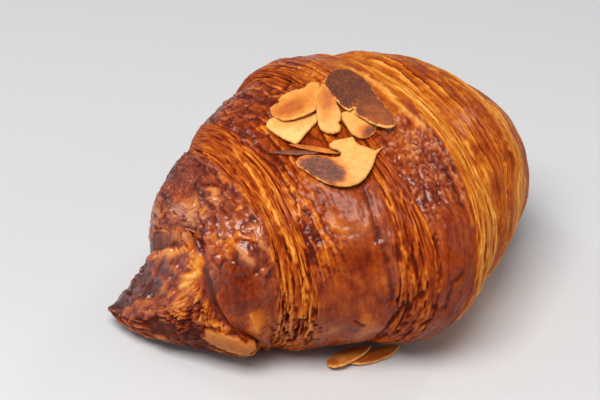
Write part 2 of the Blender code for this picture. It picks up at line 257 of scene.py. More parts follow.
def tilted_chips(v, sizes, seed=0):
    """Small chips, each with its own tilt: their relief in millimetres and the cracks between."""
    base = np.floor(v).astype(np.int64)
    best = np.full(v.shape[:-1], 9.0)
    second = np.full(v.shape[:-1], 9.0)
    relief = np.zeros(v.shape[:-1])
    for dx in (-1, 0, 1):
        for dy in (-1, 0, 1):
            for dz in (-1, 0, 1):
                i = base + np.array([dx, dy, dz])
                h = hashed(i[..., 0], i[..., 1], i[..., 2], seed)
                g = hashed(i[..., 0], i[..., 1], i[..., 2], seed + 1)
                d, slope = 0, 0
                for k, bits in enumerate((0, 10, 20)):
                    at = i[..., k] + ((h >> np.uint64(bits)) & np.uint64(1023)).astype(float) / 1023
                    tilt = ((g >> np.uint64(bits)) & np.uint64(1023)).astype(float) / 511.5 - 1
                    d = d + (v[..., k] - at) ** 2
                    slope = slope + (v[..., k] - at) * sizes[k] * tilt
                closer = d < best
                second = np.where(closer, best, np.minimum(second, d))
                relief = np.where(closer, slope, relief)
                best = np.where(closer, d, best)
    return relief, np.exp(-((np.sqrt(second) - np.sqrt(best)) / 0.12) ** 2)


def blur(f, along, round_):
    """Running mean over the grid, twice, so that it falls off smoothly."""
    for _ in range(2):
        if along:
            pad = np.pad(f, ((along, along), (0, 0)), mode="edge")
            c = np.cumsum(np.vstack([np.zeros((1, f.shape[1])), pad]), axis=0)
            f = (c[2 * along + 1:] - c[:-2 * along - 1]) / (2 * along + 1)
        if round_:
            pad = np.concatenate([f[:, -round_:], f, f[:, :round_]], axis=1)
            c = np.cumsum(np.hstack([np.zeros((f.shape[0], 1)), pad]), axis=1)
            f = (c[:, 2 * round_ + 1:] - c[:, :-2 * round_ - 1]) / (2 * round_ + 1)
    return f


# =================================================================================================
# The crust
# =================================================================================================
def grid():
    """Columns that follow the strips' edges, and rows around, closer together where it shows."""
    degrees = np.concatenate([np.arange(-90, -42, 4.0), np.arange(-42, 150, 0.65),
                              np.arange(150, 222, 1.1), np.arange(222, 269, 4.0)])
    theta = np.radians(degrees)
    mean = edge_lines(np.radians(np.arange(0, 181, 5.0))).mean(axis=1)
    w_lines = mean * HALF_LENGTH
    w_lines[-1] = w_lines[-2] + (w_lines[-1] - w_lines[-2]) * FAR_NOSE_STRETCH
    w = []
    for i, (start, stop) in enumerate(zip(w_lines[:-1], w_lines[1:])):
        step = FINE if i in (2, 4, 6, 8) else COARSE
        here = [start]
        while here[-1] < stop - 0.5 * step:
            wall = min(abs(here[-1] - w_lines[1]), abs(here[-1] - w_lines[10])) < 3.0
            here.append(here[-1] + (WALL if wall else step))
        w += list(start + (np.array(here[:-1]) - start) * (stop - start) / (here[-1] - start))
    w.append(w_lines[-1])
    w = np.array(w)
    lines = edge_lines(theta)
    s = np.stack([np.interp(w, w_lines, lines[:, j]) for j in range(len(theta))], axis=1)
    return s, np.broadcast_to(theta, s.shape), np.broadcast_to(w[:, None], s.shape), w_lines


def normals(p):
    """Outward unit normals of the grid."""
    along = np.gradient(p, axis=0)
    wrapped = np.concatenate([p[:, -1:], p, p[:, :1]], axis=1)
    turn = (wrapped[:, 2:] - wrapped[:, :-2]) / 2
    n = np.cross(turn, along)
    n /= np.linalg.norm(n, axis=-1, keepdims=True) + 1e-9
    middle = p.mean(axis=1, keepdims=True)
    if ((p - middle) * n).sum() < 0:
        n = -n
    return n


def strands(u, count, q, length, seed, soft=1.0):
    """The cut edge of laminated dough: threads that part and meet, and the slits between them."""
    meander = 0.8 * noise(u * 2.0, q / (length * 0.9), 0.3, seed)
    across = u * count + meander
    a = noise(across, q / length, 0.7, seed + 1)
    b = noise(across * 2.1, q / (length * 0.62), 3.7, seed + 2)
    c = noise(across * 4.1, q / (length * 0.55), 5.7, seed + 3)
    wide = noise(across * 0.45, q / (length * 1.6), 8.7, seed + 4)
    thread = np.maximum(np.exp(-(a / (0.15 * soft)) ** 2), 0.7 * np.exp(-(b / (0.18 * soft)) ** 2))
    slit = smoothstep(0.22, 0.50, np.abs(a)) * smoothstep(0.10, 0.40, np.abs(b))
    slit = slit * smoothstep(-0.55, 0.15, wide)
    return thread * (0.75 + 0.45 * wide), slit, c, across


def shingles(x, q, spacing, length, seed, wavy=0.4):
    """Layers that overlap towards +x: their rise, their lips, the gaps beyond, and their tints."""
    across = (x / spacing + 0.9 * noise(x / (4 * spacing), q / (1.6 * length), 0.3, seed)
              + wavy * noise(x / (1.3 * spacing), q / (0.5 * length), 0.9, seed + 1))
    k = np.floor(across)
    f = across - k

    def live(layer):
        return smoothstep(-0.30, 0.35, noise(layer * 0.731 + 0.31, q / length, 0.5, seed + 2))

    here, below = live(k), live(k - 1)
    tint = noise(k * 0.617 + 0.27, q / (2.5 * length), 4.5, seed + 3)
    return (f * f * here, smoothstep(0.62, 0.90, f) * here, np.exp(-(f / 0.20) ** 2) * below, tint)


def chips(w, q, size, stretch, warp, seed):
    """A patchwork of torn pieces: each one's number and the cracks between them."""
    v = np.stack([w / size + 0.45 * warp[..., 0], q / (size * stretch) + 0.4 * warp[..., 1],
                  np.full(w.shape, 0.5)], axis=-1)
    f1, f2, who = cells(v, 1.0, seed)
    return who, np.exp(-((f2 - f1) / 0.11) ** 2)


def body_point(s, theta):
    """A point of the plain crust in the part's frame, with the near nose's fuller root."""
    p = crust_point(s, theta) + SHIFT
    beyond = (-s - around(theta, NEAR_CREASE)) * HALF_LENGTH
    degrees = np.degrees(theta)
    p[..., 2] += (ROOT_RISE * smoothstep(0.0, 1.5, beyond) * (1 - smoothstep(1.6, 11.0, beyond))
                  * smoothstep(24, 50, degrees) * (1 - smoothstep(70, 96, degrees)))
    return p


def on_crust(s, degrees):
    """Points of the plain crust at a list of places."""
    return body_point(np.asarray(s, float), np.radians(np.asarray(degrees, float)))


def line_distance(line, p):
    """Distance in millimetres from every point to a line drawn on the roll."""
    s = np.array([v[0] for v in line], float)
    d = np.array([v[1] for v in line], float)
    t = np.linspace(0, len(line) - 1, 4 * (len(line) - 1) + 1)
    knots = np.arange(len(line))
    q = on_crust(np.interp(t, knots, s), np.interp(t, knots, d))
    middle = q.mean(axis=0)
    reach = np.linalg.norm(q - middle, axis=1).max() + 9.0
    close = np.linalg.norm(p - middle, axis=-1) < reach
    near = p[close]
    best = np.full(len(near), 1e3)
    for a, b in zip(q[:-1], q[1:]):
        ab = b - a
        t = np.clip(((near - a) @ ab) / (ab @ ab + 1e-9), 0, 1)
        best = np.minimum(best, np.linalg.norm(near - a - t[:, None] * ab, axis=1))
    out = np.full(p.shape[:-1], 1e3)
    out[close] = best
    return out


# Marks on the crust: (line along it as (share, degrees) points), half width, height, tone and how
# much of the tone shows. The tone runs from 0, pale dough, to 1, burnt.
MARKS = (
    # threads that stand out in the cut edges
    (((-.460, 74), (-.446, 58), (-.435, 46), (-.419, 30), (-.415, 21)), 0.55, 0.35, 0.34, 0.75),
    (((-.403, 18), (-.404, 5), (-.393, -7), (-.377, -19)), 0.40, 0.30, 0.42, 0.7),
    (((-.450, 22), (-.450, 9), (-.445, -1)), 0.35, 0.25, 0.46, 0.6),
    (((-.133, 43), (-.141, 31), (-.142, 20), (-.137, 8), (-.121, -6)), 0.40, 0.30, 0.44, 0.6),
    (((-.084, 38), (-.076, 28), (-.075, 21)), 0.36, 0.40, 0.44, 0.6),
    (((-.158, 14), (-.156, 2), (-.167, -6)), 0.35, 0.25, 0.46, 0.5),
    (((-.332, 42), (-.325, 31), (-.310, 23)), 0.50, 0.30, 0.44, 0.6),
    (((-.543, 76), (-.513, 67), (-.495, 57), (-.486, 46)), 0.35, 0.25, 0.48, 0.5),
    # golden strands over the crown to the right
    (((.122, 97), (.140, 87), (.138, 80), (.120, 74)), 0.9, 0.25, 0.26, 0.6),
    (((.132, 86), (.113, 77), (.100, 68), (.111, 60)), 1.0, 0.25, 0.26, 0.65),
    (((.189, 79), (.182, 70), (.184, 61), (.177, 51)), 0.9, 0.20, 0.30, 0.6),
    (((.085, 68), (.102, 58), (.095, 47), (.081, 35), (.057, 22)), 0.8, 0.15, 0.42, 0.4),
    (((.134, 63), (.149, 52), (.159, 40), (.165, 27), (.154, 9)), 0.9, 0.12, 0.36, 0.45),
    (((.315, 99), (.299, 85), (.279, 74), (.262, 62)), 0.8, 0.20, 0.34, 0.5),
    (((.466, 80), (.481, 66), (.476, 54), (.451, 43), (.406, 30)), 0.7, 0.25, 0.32, 0.6),
    (((.481, 39), (.456, 28), (.439, 12), (.375, 3)), 0.8, 0.20, 0.34, 0.6),
    (((.530, 76), (.498, 57), (.454, 40), (.427, 27), (.406, 12)), 0.5, 0.2, 0.34, 0.5),
    # slits and hollows, darkened with painted shade
    (((-.152, -7), (-.160, -14), (-.168, -21), (-.172, -30), (-.150, -46)), 0.45, -0.9, 0.92, 0.8),
    (((-.022, 5), (-.046, 2), (-.053, -5), (-.056, -12)), 0.70, -0.4, 0.88, 0.6),
    (((-.063, 24), (-.077, 13), (-.083, -1), (-.077, -15)), 0.35, -0.4, 0.84, 0.6),
    (((-.650, 58), (-.645, 52), (-.652, 46)), 0.80, -0.7, 0.90, 0.7),
    (((-.290, 134), (-.279, 117), (-.234, 108), (-.164, 106), (-.111, 104)), 0.7, -0.7, 0.86, 0.6),
    (((-.385, 26), (-.388, 18), (-.386, 8)), 0.35, -0.5, 0.90, 0.7),
    (((-.262, -17), (-.241, -20)), 0.50, -0.6, 0.88, 0.7),
    (((-.409, -12), (-.409, -22), (-.410, -31)), 0.45, -0.7, 0.90, 0.7),
    (((-.172, 47), (-.188, 36), (-.193, 25), (-.190, 11), (-.182, -6)), 0.8, -0.3, 0.92, 0.65),
    (((.081, 50), (.075, 43), (.066, 38), (.052, 30)), 0.6, -0.35, 0.86, 0.6),
    (((-.310, 10), (-.283, 4)), 1.10, -0.2, 0.84, 0.5),
    (((-.316, 28), (-.299, 22), (-.293, 18)), 0.4, -0.3, 0.84, 0.5),
    # patches of paler and of duskier glaze
    (((-.337, 24), (-.343, 19)), 1.3, 0.1, 0.50, 0.7),
    (((-.328, -23), (-.308, -22)), 1.3, 0.1, 0.48, 0.7),
    (((-.545, -4), (-.529, -10), (-.530, -14)), 1.7, 0.3, 0.42, 0.8),
    (((-.306, 38), (-.283, 32)), 1.5, 0.1, 0.46, 0.5),
    (((.242, 45), (.238, 41)), 1.1, 0.1, 0.22, 0.6),
    (((.238, 33), (.230, 28)), 1.2, 0.1, 0.22, 0.6),
    (((.380, 52), (.376, 44), (.345, 35)), 1.8, 0.0, 0.62, 0.5),
    (((-.591, 47), (-.581, 35)), 2.2, 0.3, 0.68, 0.6),
    (((-.587, 69), (-.588, 62), (-.596, 58)), 0.9, 0.2, 0.40, 0.7),
    (((-.592, 21), (-.590, 12), (-.585, 3)), 4.6, -0.3, 0.90, 0.80),
    (((-.556, 23), (-.545, 15), (-.550, 8)), 3.4, -0.2, 0.88, 0.7),
    (((-.634, 34), (-.612, 28), (-.590, 24)), 1.2, 0.1, 0.80, 0.5),
    (((-.558, 34), (-.536, 26)), 1.0, 0.25, 0.38, 0.7),
    (((-.491, 33), (-.471, 25)), 1.0, 0.25, 0.40, 0.6),
    (((-.356, -12), (-.292, -16)), 2.2, 0.0, 0.76, 0.5),
    # the nose's golden root and facet, the streak along its ridge, and its tip
    (((-.790, 63), (-.762, 59), (-.736, 53), (-.708, 47), (-.684, 40)), 1.3, 0.1, 0.40, 0.75),
    (((-.660, 34), (-.676, 33), (-.700, 31), (-.722, 30)), 1.7, 0.35, 0.30, 0.85),
    (((-.668, 42), (-.700, 44), (-.735, 45)), 1.0, -0.25, 0.66, 0.6),
    (((-.700, 52), (-.740, 58), (-.780, 58), (-.830, 56)), 0.8, 0.45, 0.70, 0.6),
    (((-.760, 40), (-.790, 36), (-.830, 32)), 1.0, 0.25, 0.56, 0.6),
    (((-.735, 20), (-.780, 17), (-.840, 14)), 0.6, 0.25, 0.46, 0.6),
    (((-.690, -28), (-.740, -34), (-.800, -30)), 1.8, 0.2, 0.72, 0.6),
    # crevices that spread from under the first lobe, darkened with painted shade
    *[(((-.662 - .003 * k, 13 - 4 * k), (-.690 - .004 * k, 6 - 4.5 * k), (-.722 - .006 * k, 0 - 5 * k)),
       0.35, -0.8, 0.92, 0.75) for k in range(-1, 4)],
)
# Where the crust is dusky, with a purple cast, in places its own tone and in places a painted sheen of reflected
# light: (line), half width, how much
DUSK_AND_SHEEN = (
    (((-.752, 95), (-.722, 74), (-.690, 64), (-.662, 58)), 2.4, 0.95),
    (((-.790, 90), (-.800, 78), (-.790, 70)), 1.6, 0.45),
    (((-.700, 100), (-.670, 80), (-.640, 70)), 4.0, 0.6),
    (((-.760, 50), (-.790, 52), (-.820, 50)), 1.8, 0.35),
    (((-.509, 46), (-.499, 40)), 1.7, 0.7),
    (((-.560, 58), (-.548, 50)), 1.6, 0.5),
    (((-.498, 26), (-.496, 14), (-.500, 2)), 2.0, 0.5),
    (((-.364, -16), (-.310, -20), (-.250, -24)), 2.6, 0.55),
    (((-.450, -12), (-.430, -30)), 2.6, 0.35),
    (((-.830, 62), (-.880, 70), (-.940, 78)), 3.0, 0.35),
    (((-.270, 46), (-.225, 42), (-.215, 34), (-.250, 30)), 3.6, 0.45),
    (((-.985, 30), (-.930, 20), (-.880, -6)), 2.6, 0.55),
    (((-.640, 10), (-.630, -4), (-.600, -14)), 1.3, 0.35),
    (((-.175, 38), (-.180, 24), (-.176, 4)), 1.6, 0.5),
)


def make_fields(s, theta, w, w_lines, base, normal):
    deg = np.degrees(theta)
    # length around, measured from the crown
    step = np.linalg.norm(np.diff(base, axis=1), axis=-1)
    q = np.concatenate([np.zeros((len(s), 1)), np.cumsum(step, axis=1)], axis=1)
    crown = np.argmin(np.abs(deg[0] - 90))
    q = q - q[:, crown:crown + 1]
    # and length along the roll
    step = np.linalg.norm(np.diff(base, axis=0), axis=-1)
    run = np.concatenate([np.zeros((1, s.shape[1])), np.cumsum(step, axis=0)])
    shown = smoothstep(-62, -42, deg) * (1 - smoothstep(218, 240, deg))
    p = base
    L = w_lines

    # --- ragged edges of the glazed skin ---
    ragged = (0.8 * noise(w / 4, q / 7, 0.1, 3) + 0.45 * noise(w / 1.6, q / 2.6, 0.1, 4)
              + 0.6 * noise(w / 9, q / 18, 0.6, 5))
    wr = w + ragged

    def between(a, b, soft=0.5, x=wr):
        return smoothstep(a - soft, a + soft, x) * (1 - smoothstep(b - soft, b + soft, x))

    nose = 1 - smoothstep(L[1] - 1.2, L[1] + 0.6, w)
    far_nose = smoothstep(L[10] - 0.6, L[10] + 1.2, w)
    tips = np.clip(nose + far_nose, 0, 1)
    lobe = between(L[1], L[2], 0.8)
    band_ab = between(L[3], L[4])
    band_bc = between(L[5], L[6])
    band_cd = between(L[7], L[8])
    band_d = between(L[9], L[10])
    right = smoothstep(L[6] - 4, L[7] + 3, w)            # the golden half
    left = 1 - smoothstep(L[5] - 2, L[6] + 1, w)
    high = smoothstep(20, 80, deg)                       # towards the crown
    skin = np.clip(tips + lobe + band_ab + band_bc + band_cd + band_d, 0, 1)

    warp = np.stack([noise(*(p[..., k] / 5 for k in range(3)), 31 + i) for i in range(3)], axis=-1)
    warp2 = np.stack([noise(*(p[..., k] / 1.7 for k in range(3)), 34 + i) for i in range(3)], axis=-1)
    mottle = fractal(p, 3.0, 3, 52, 0.6)
    cloud = fractal(p, 13, 3, 51)
    streak = noise(w / 1.1, q / 15, 4.4, 45)
    streak2 = noise(w / 0.55, q / 8, 6.4, 46)
    streak3 = noise(w / 0.34, q / 5, 9.4, 47)

    height = np.zeros(s.shape)
    brown = np.zeros(s.shape)
    dusk_and_sheen = np.zeros(s.shape)

    # --- lumps that break the turned look ---
    height += 0.9 * fractal(p, 19, 2, 21) + 0.40 * fractal(p, 8, 2, 22)

    # --- where the skin is rough ---
    along_ab = np.clip((w - L[3]) / (L[4] - L[3]), 0, 1)
    top_rough = smoothstep(76, 96, deg) * left
    left_rough = band_ab * (1 - smoothstep(0.22, 0.50, along_ab + 0.25 * warp[..., 0])) \
        * smoothstep(0, 28, deg)
    grainy = between(L[5], L[6], 1.0, w) * smoothstep(20, 40, deg + 6 * warp[..., 0]) \
        * (1 - smoothstep(56, 72, deg + 8 * warp[..., 1]))
    lobe_back = lobe * smoothstep(62, 84, deg)
    lobe_front = lobe * (1 - lobe_back)
    among = np.exp(-(line_distance(((-.27, 73), (-.19, 72), (-.09, 67)), p) / 5.0) ** 2)
    rough = np.clip(top_rough + left_rough + lobe_back + 0.5 * grainy + 0.25 * lobe_front
                    + 0.9 * among, 0, 1)

    # --- blisters and pimples ---
    f1, f2, who = cells(p + 1.3 * warp, 2.9, 41)
    blister = np.clip(1 - (f1 / 0.62) ** 2, 0, 1) * smoothstep(0.35, 0.75, who)
    g1, g2, who2 = cells(p + 0.4 * warp2, 1.3, 42)
    pimple = np.clip(1 - (g1 / 0.55) ** 2, 0, 1) * smoothstep(0.35, 0.8, who2)
    h1, h2, who3 = cells(p + 0.3 * warp2, 0.85, 49)
    grit = np.clip(1 - (h1 / 0.6) ** 2, 0, 1) * smoothstep(0.2, 0.6, who3)
    height += skin * (1 - 0.8 * tips) * (0.18 * blister * (0.3 + rough) + 0.14 * pimple * (0.25 + rough)
                      + 0.24 * grit * np.clip(0.8 * grainy + 0.45 * rough, 0, 1.3))
    grain = np.maximum(0.55 * grit, np.clip(1 - (g1 / 0.62) ** 2, 0, 1) * smoothstep(0.15, 0.45, who2))
    height += 0.34 * grainy * grain

    wrinkled_top = band_ab * smoothstep(24, 40, deg) * (1 - smoothstep(60, 80, deg))

    # --- torn chips of skin ---
    for size, stretch, seed, deep, tone in ((4.2, 1.7, 61, 0.16, 0.15), (2.0, 2.2, 62, 0.10, 0.11)):
        number, crack = chips(w, q, size, stretch, warp + 0.5 * warp2, seed)
        amount = (skin * (0.25 + 0.75 * np.clip(rough + 0.8 * lobe_front, 0, 1)) * (1 - 0.7 * right)
                  * (1 - 0.5 * lobe_back))
        crack = crack * (1 - 0.6 * lobe_front)
        height += amount * (deep * 2 * (number - 0.5) - 0.9 * deep * crack)
        brown += amount * (tone * 2 * (number - 0.5) + 0.10 * crack)
        if size > 3:
            # painted sheen: a pinkish dusky tone on some of the first lobe's larger chips
            dusk_and_sheen = np.maximum(dusk_and_sheen, 0.50 * lobe_front * smoothstep(0.60, 0.66, number) * smoothstep(-8, 4, deg))

    # --- chips of glaze on the first lobe, each tilted its own way ---
    relief, crack = tilted_chips(p / 2.7 + 0.30 * warp, (2.7, 2.7, 2.7), 135)
    glazed = lobe_front * smoothstep(8, 26, deg + 8 * warp[..., 0]) + 0.2 * wrinkled_top
    height += glazed * (0.18 * np.clip(relief, -1.2, 1.2) - 0.12 * crack)
    brown += glazed * (0.05 * crack - 0.05 * relief)

    # --- wrinkles that run down the glazed middle ---
    wrinkled = band_ab * smoothstep(4, 26, deg + 8 * warp[..., 2]) * (1 - smoothstep(58, 76, deg)) \
        * (1 - 0.75 * smoothstep(0.25, 0.55, along_ab + 0.2 * warp[..., 1]))
    wrinkled = wrinkled + 0.5 * lobe_front * smoothstep(6, 24, deg + 8 * warp[..., 2])
    for spacing, length, seed, deep in ((2.4, 7.0, 121, 0.14), (1.1, 3.4, 122, 0.10)):
        fold = 1 - np.abs(noise((w + 0.35 * q) / spacing + 0.4 * warp[..., 0],
                                (q - 0.35 * w) / length, 0.4, seed)) * 2.4
        height += wrinkled * deep * fold
        brown -= wrinkled * 0.07 * fold

    # --- layers that overlap, drawn out along the wraps ---
    towards = np.where(w > (L[5] + L[6]) / 2, w, -w)
    for spacing, length, seed, deep, tone in ((2.4, 15, 71, 0.30, 0.12), (1.1, 8, 72, 0.13, 0.06)):
        rise, lip, shadowed_gap, tint = shingles(towards + 0.4 * warp[..., 1] * right, q / (1 + 0.7 * right),
                                        spacing, length, seed, 0.4 - 0.25 * right)
        amount = skin * (1 - tips) * np.clip(0.12 + 0.80 * right + 0.70 * rough, 0, 1) * (1 - 0.6 * grainy)
        height += amount * deep * (rise - 0.6 * shadowed_gap)
        # darker in the gap beyond each lip: a painted shadow
        brown += amount * tone * (1.2 * tint - 1.3 * lip + 2.6 * shadowed_gap)
    calm = 1 + 0.25 * right + 1.2 * band_bc * (1 - smoothstep(30, 50, deg))
    height += skin * (1 - tips) * (0.10 * streak + (0.06 * streak2 + 0.05 * streak3) * calm)
    brown += skin * (0.06 * streak + (0.06 * streak2 + 0.05 * streak3) * calm)

    blotch = fractal(p, 7.0, 3, 53, 0.6)
    # its next-to-last term makes the grainy band's granules paler: painted glints
    brown += (0.73 - 0.17 * right - 0.04 * high * right - 0.02 * high * left + 0.09 * cloud
              + 0.10 * mottle + 0.06 * grainy - 0.08 * lobe_front + 0.14 * right * blotch
              + 0.12 * lobe_front * smoothstep(-8, 2, deg) * (1 - smoothstep(20, 32, deg))
              - 0.02 * wrinkled_top + 0.08 * among + 0.13 * lobe_back + 0.06 * band_bc * (1 - smoothstep(50, 66, deg))
              - 0.16 * band_bc * smoothstep(60, 80, deg) + 0.05 * right
              + 0.10 * right * fractal(p, 1.7, 2, 54, 0.6) 
              - 0.24 * grainy * grain * np.clip(0.7 + 1.2 * mottle, 0, 1.3) - 0.05 * grainy)
    # blotches and flecks low on the front
    low_front = (band_ab + 0.7 * lobe) * (1 - smoothstep(14, 40, deg))
    patchy = fractal(p, 4.5, 3, 55, 0.6)
    fleck = noise(w / 0.8, q / 3.5, 2.2, 56)
    brown += low_front * (0.20 * patchy + 0.07 * fleck - 0.01 + 0.10 * band_ab * smoothstep(0.86, 1.0, along_ab))
    height += low_front * (0.07 * fleck + 0.06 * patchy)
    dusk_and_sheen = np.maximum(dusk_and_sheen, lobe_back * (0.35 + 0.35 * grit))
    height += 0.16 * lobe_back * grit
    # the grainy band's granules also get a pinkish tone: painted glints
    dusk_and_sheen = np.maximum(dusk_and_sheen, grainy * (0.15 + 0.75 * grain * np.clip(0.7 + 1.2 * mottle, 0, 1.3)))

    # --- noses: wrinkles that fan out from the root, golden there and burnt at the tip ---
    out_near = np.clip((L[1] - w) / (L[1] - L[0]), 0, 1)
    out_far = np.clip((w - L[10]) / (L[11] - L[10]), 0, 1)
    out = np.maximum(out_near, out_far)
    strong = smoothstep(0.10, 0.30, out)
    ridge_side = smoothstep(30, 50, deg + 8 * warp[..., 1]) * (1 - smoothstep(150, 200, deg))
    ridge = ridge_side * smoothstep(0.16, 0.34, out + 0.05 * warp[..., 0])
    sleek = ridge_side * smoothstep(0.04, 0.20, out)
    fan = np.zeros(s.shape)
    ray = np.zeros(s.shape)
    facet = np.zeros(s.shape)
    folds = np.zeros(s.shape)
    for side, root, tip in ((nose, (-.640, 22), -.99), (far_nose, (.70, 22), .99)):
        start = on_crust([root[0]], [root[1]])[0]
        ahead = on_crust([tip], [60])[0] - start
        ahead /= np.linalg.norm(ahead)
        up = np.array([0, 0, 1.0]) - ahead[2] * ahead
        up /= np.linalg.norm(up)
        d = p - start
        a, b = d @ ahead, d @ up
        turn, reach = np.arctan2(b, a), np.hypot(a, b)
        ribs = 1 - np.abs(noise(turn * 6.0 + 0.4 * warp[..., 0], reach / 10, 0.4, 73)) * 2.4
        ribs2 = 1 - np.abs(noise(turn * 15.0 + 0.4 * warp[..., 1], reach / 7, 2.4, 74)) * 2.4
        strength = smoothstep(1.5, 6, reach)
        fan += side * strength * (0.65 * ribs + 0.45 * ribs2 * (1 - 0.85 * sleek))
        ray += side * strength * (1 - 0.9 * sleek) * noise(turn * 24.0, reach / 6, 5.4, 75)
        long_cells = np.stack([turn * 7.5 + 0.35 * warp[..., 0], reach / 5.5 + 0.35 * warp[..., 1],
                               np.full(s.shape, 0.5)], axis=-1)
        f3, f4, number = cells(long_cells, 1.0, 111)
        lying = np.stack([a / 6.5, b / 2.4, (d @ np.cross(ahead, up)) / 2.4], axis=-1) + 0.22 * warp
        relief, crack = tilted_chips(lying, (3.2, 2.4, 2.4), 131)
        folds += side * strength * (0.25 * np.clip(relief, -1.2, 1.2) - 0.24 * crack)
        facet += side * strength * ((number - 0.5) - 0.9 * np.exp(-((f4 - f3) / 0.12) ** 2)
                                    + 0.3 * np.clip(1 - f3 / 0.6, 0, 1))
    lumpy = np.clip(1 - (f1 / 0.72) ** 2, 0, 1)
    height += tips * (0.30 * fan + 0.08 * ray + 0.14 * lumpy * (0.35 * strong + ridge)
                      + (0.28 - 0.12 * sleek) * facet + (0.25 + 0.75 * sleek) * folds
                      + 0.12 * pimple * (1 - 0.6 * sleek) + 0.08 * grit * (1 - sleek))
    tip_tone = (0.58 + 0.26 * smoothstep(0.03, 0.40, out + 0.06 * warp[..., 2]) + 0.18 * ridge
                + 0.14 * mottle - 0.10 * fan - 0.05 * ray + 0.05 * cloud - 0.12 * facet - 0.03 * strong
                + 0.06 * ridge)
    brown = brown * (1 - tips) + tips * tip_tone
    # a dusky tone towards the tips, and a painted sheen on the ridge's lumps
    dusk_and_sheen = np.maximum(dusk_and_sheen, tips * (0.22 * smoothstep(0.08, 0.6, out + 0.06 * warp[..., 1])
                                  + 0.14 * ridge * lumpy))

    # the layered fringe along the foot of each nose
    edge_deg = deg + 7 * noise(w / 5, 0.2, 0.4, 76) + 3 * warp2[..., 0]
    fringe = tips * np.maximum(1 - smoothstep(2, 14, edge_deg), smoothstep(172, 186, deg))
    layers = fringe * smoothstep(0.02, 0.12, out)
    down = -1.1 * p[..., 2]
    for spacing, length, seed, deep in ((2.3, 5.0, 77, 0.62), (1.1, 3.0, 78, 0.34)):
        rise, lip, shadowed_gap, tint = shingles(down + 1.0 * warp[..., 0] + 0.45 * warp2[..., 1], w, spacing,
                                        length, seed)
        height += layers * 1.2 * deep * (rise - 0.6 * shadowed_gap)
        # darker in the gap beyond each lip: a painted shadow
        brown += layers * (0.20 * tint - 0.22 * lip + 0.30 * shadowed_gap)
    brown += layers * 0.10
    dusk_and_sheen = np.maximum(dusk_and_sheen, 0.40 * layers * (1 - smoothstep(-26, -8, deg)))
    h1, h2, who4 = cells(p + 0.8 * warp2, 1.5, 44)
    hollow = np.clip(1 - (h1 / 0.45) ** 2, 0, 1) * smoothstep(0.3, 0.5, who4) * fringe
    height -= 0.5 * hollow
    # painted shade darkens the hollows
    brown += 0.20 * hollow

    # --- the strips ---
    in_strip = np.zeros(s.shape)
    for i, count, length, seed, low, top, pale, level, soft in (
            (2, 15, 15, 81, 0.95, 0.7, 0.25, 0.75, 1.0), (4, 21, 17, 86, 1.0, 0.8, 0.27, 0.84, 0.9),
            (6, 6.5, 16, 91, 0.45, 0.40, 0.36, 0.66, 1.5), (8, 6, 16, 96, 0.45, 0.40, 0.34, 0.66, 1.5)):
        u = (w - L[i]) / (L[i + 1] - L[i])
        thread, slit, fine, across = strands(u, count, q, length, seed, soft)
        mask = between(L[i], L[i + 1], 0.6)
        openness = slit * (low + (top - low) * smoothstep(20, 65, deg))
        lean = (across + 0.25 * fine) % 1.0
        deeper = 1 + 0.5 * (1 - smoothstep(10, 50, deg)) * (i < 5)
        rise = 0.32 * thread - 0.62 * deeper * openness + 0.12 * fine + 0.20 * (lean - 0.5)
        # the slits are darker, painted shade; the threads are paler dough
        tone = (level - pale * thread + 0.20 * deeper * openness - 0.08 * fine + 0.05 * streak3
                + 0.07 * mottle - 0.10 * right)
        height = height * (1 - mask * 0.35) + mask * rise
        brown = brown * (1 - mask) + mask * tone
        dusk_and_sheen *= 1 - mask
        in_strip = np.maximum(in_strip, mask)

    # the cut edge shows on the lobes' fronts too, over the noses, and the crease under it
    sides = smoothstep(44, 54, deg) * (1 - smoothstep(150, 175, deg))
    for line, way, low, seed in ((L[1], 1, -1.55, 101), (L[10], -1, -1.2, 106)):
        d = (w - line) * way
        at = int(np.argmin(np.abs(w[:, 0] - line)))
        arc = (run - run[at:at + 1]) * way
        face = (smoothstep(low - 0.25, low + 0.25, d) * (1 - smoothstep(1.5, 2.3, d + 0.5 * ragged)) * sides)
        thread, slit, fine, across = strands(arc / 14, 11, q, 5.0, seed, 1.2)
        height = height * (1 - 0.7 * face) + face * (0.34 * thread - 0.45 * slit + 0.15 * fine)
        # the slits are darker: painted shade
        layered = 0.82 - 0.30 * thread + 0.15 * slit - 0.08 * fine + 0.12 * mottle
        brown = brown * (1 - face) + face * layered
        dusk_and_sheen = dusk_and_sheen * (1 - face) + face * 0.25
        shadow = np.exp(-((d - low + 0.25) / 0.40) ** 2) * sides
        height -= 0.45 * shadow
        brown += 0.30 * shadow
    # long hollows between the threads, low on the two cut edges that face the front, darkened with painted shade
    for a, b, seed, reach in ((2, 3, 141, 34), (4, 5, 142, 16)):
        holes = between(L[a] + 0.3, L[b] - 0.3, 0.5) * (1 - smoothstep(reach - 22, reach, deg + 8 * warp[..., 1]))
        spread = np.stack([w / 1.25, q / 4.0, np.full(s.shape, 0.5)], axis=-1) + 0.22 * warp
        h1, h2, who4 = cells(spread, 1.0, seed)
        hollow = np.clip(1 - (h1 / 0.46) ** 2, 0, 1) * smoothstep(0.42, 0.52, who4) * holes
        height -= 0.60 * hollow
        brown += 0.20 * hollow
    # pitted foot of the first cut edge, with painted shade darkening the pits
    pits = between(L[2] - 2, L[3] + 1, 1.5, w) * smoothstep(-40, -30, deg) \
        * (1 - smoothstep(-14, 12, deg + 7 * warp[..., 0]))
    h1, h2, who4 = cells(p + 0.6 * warp, 1.7, 48)
    pit = np.clip(1 - (h1 / 0.42) ** 2, 0, 1) * smoothstep(0.3, 0.5, who4)
    height -= pits * 0.7 * pit
    brown += pits * 0.22 * pit

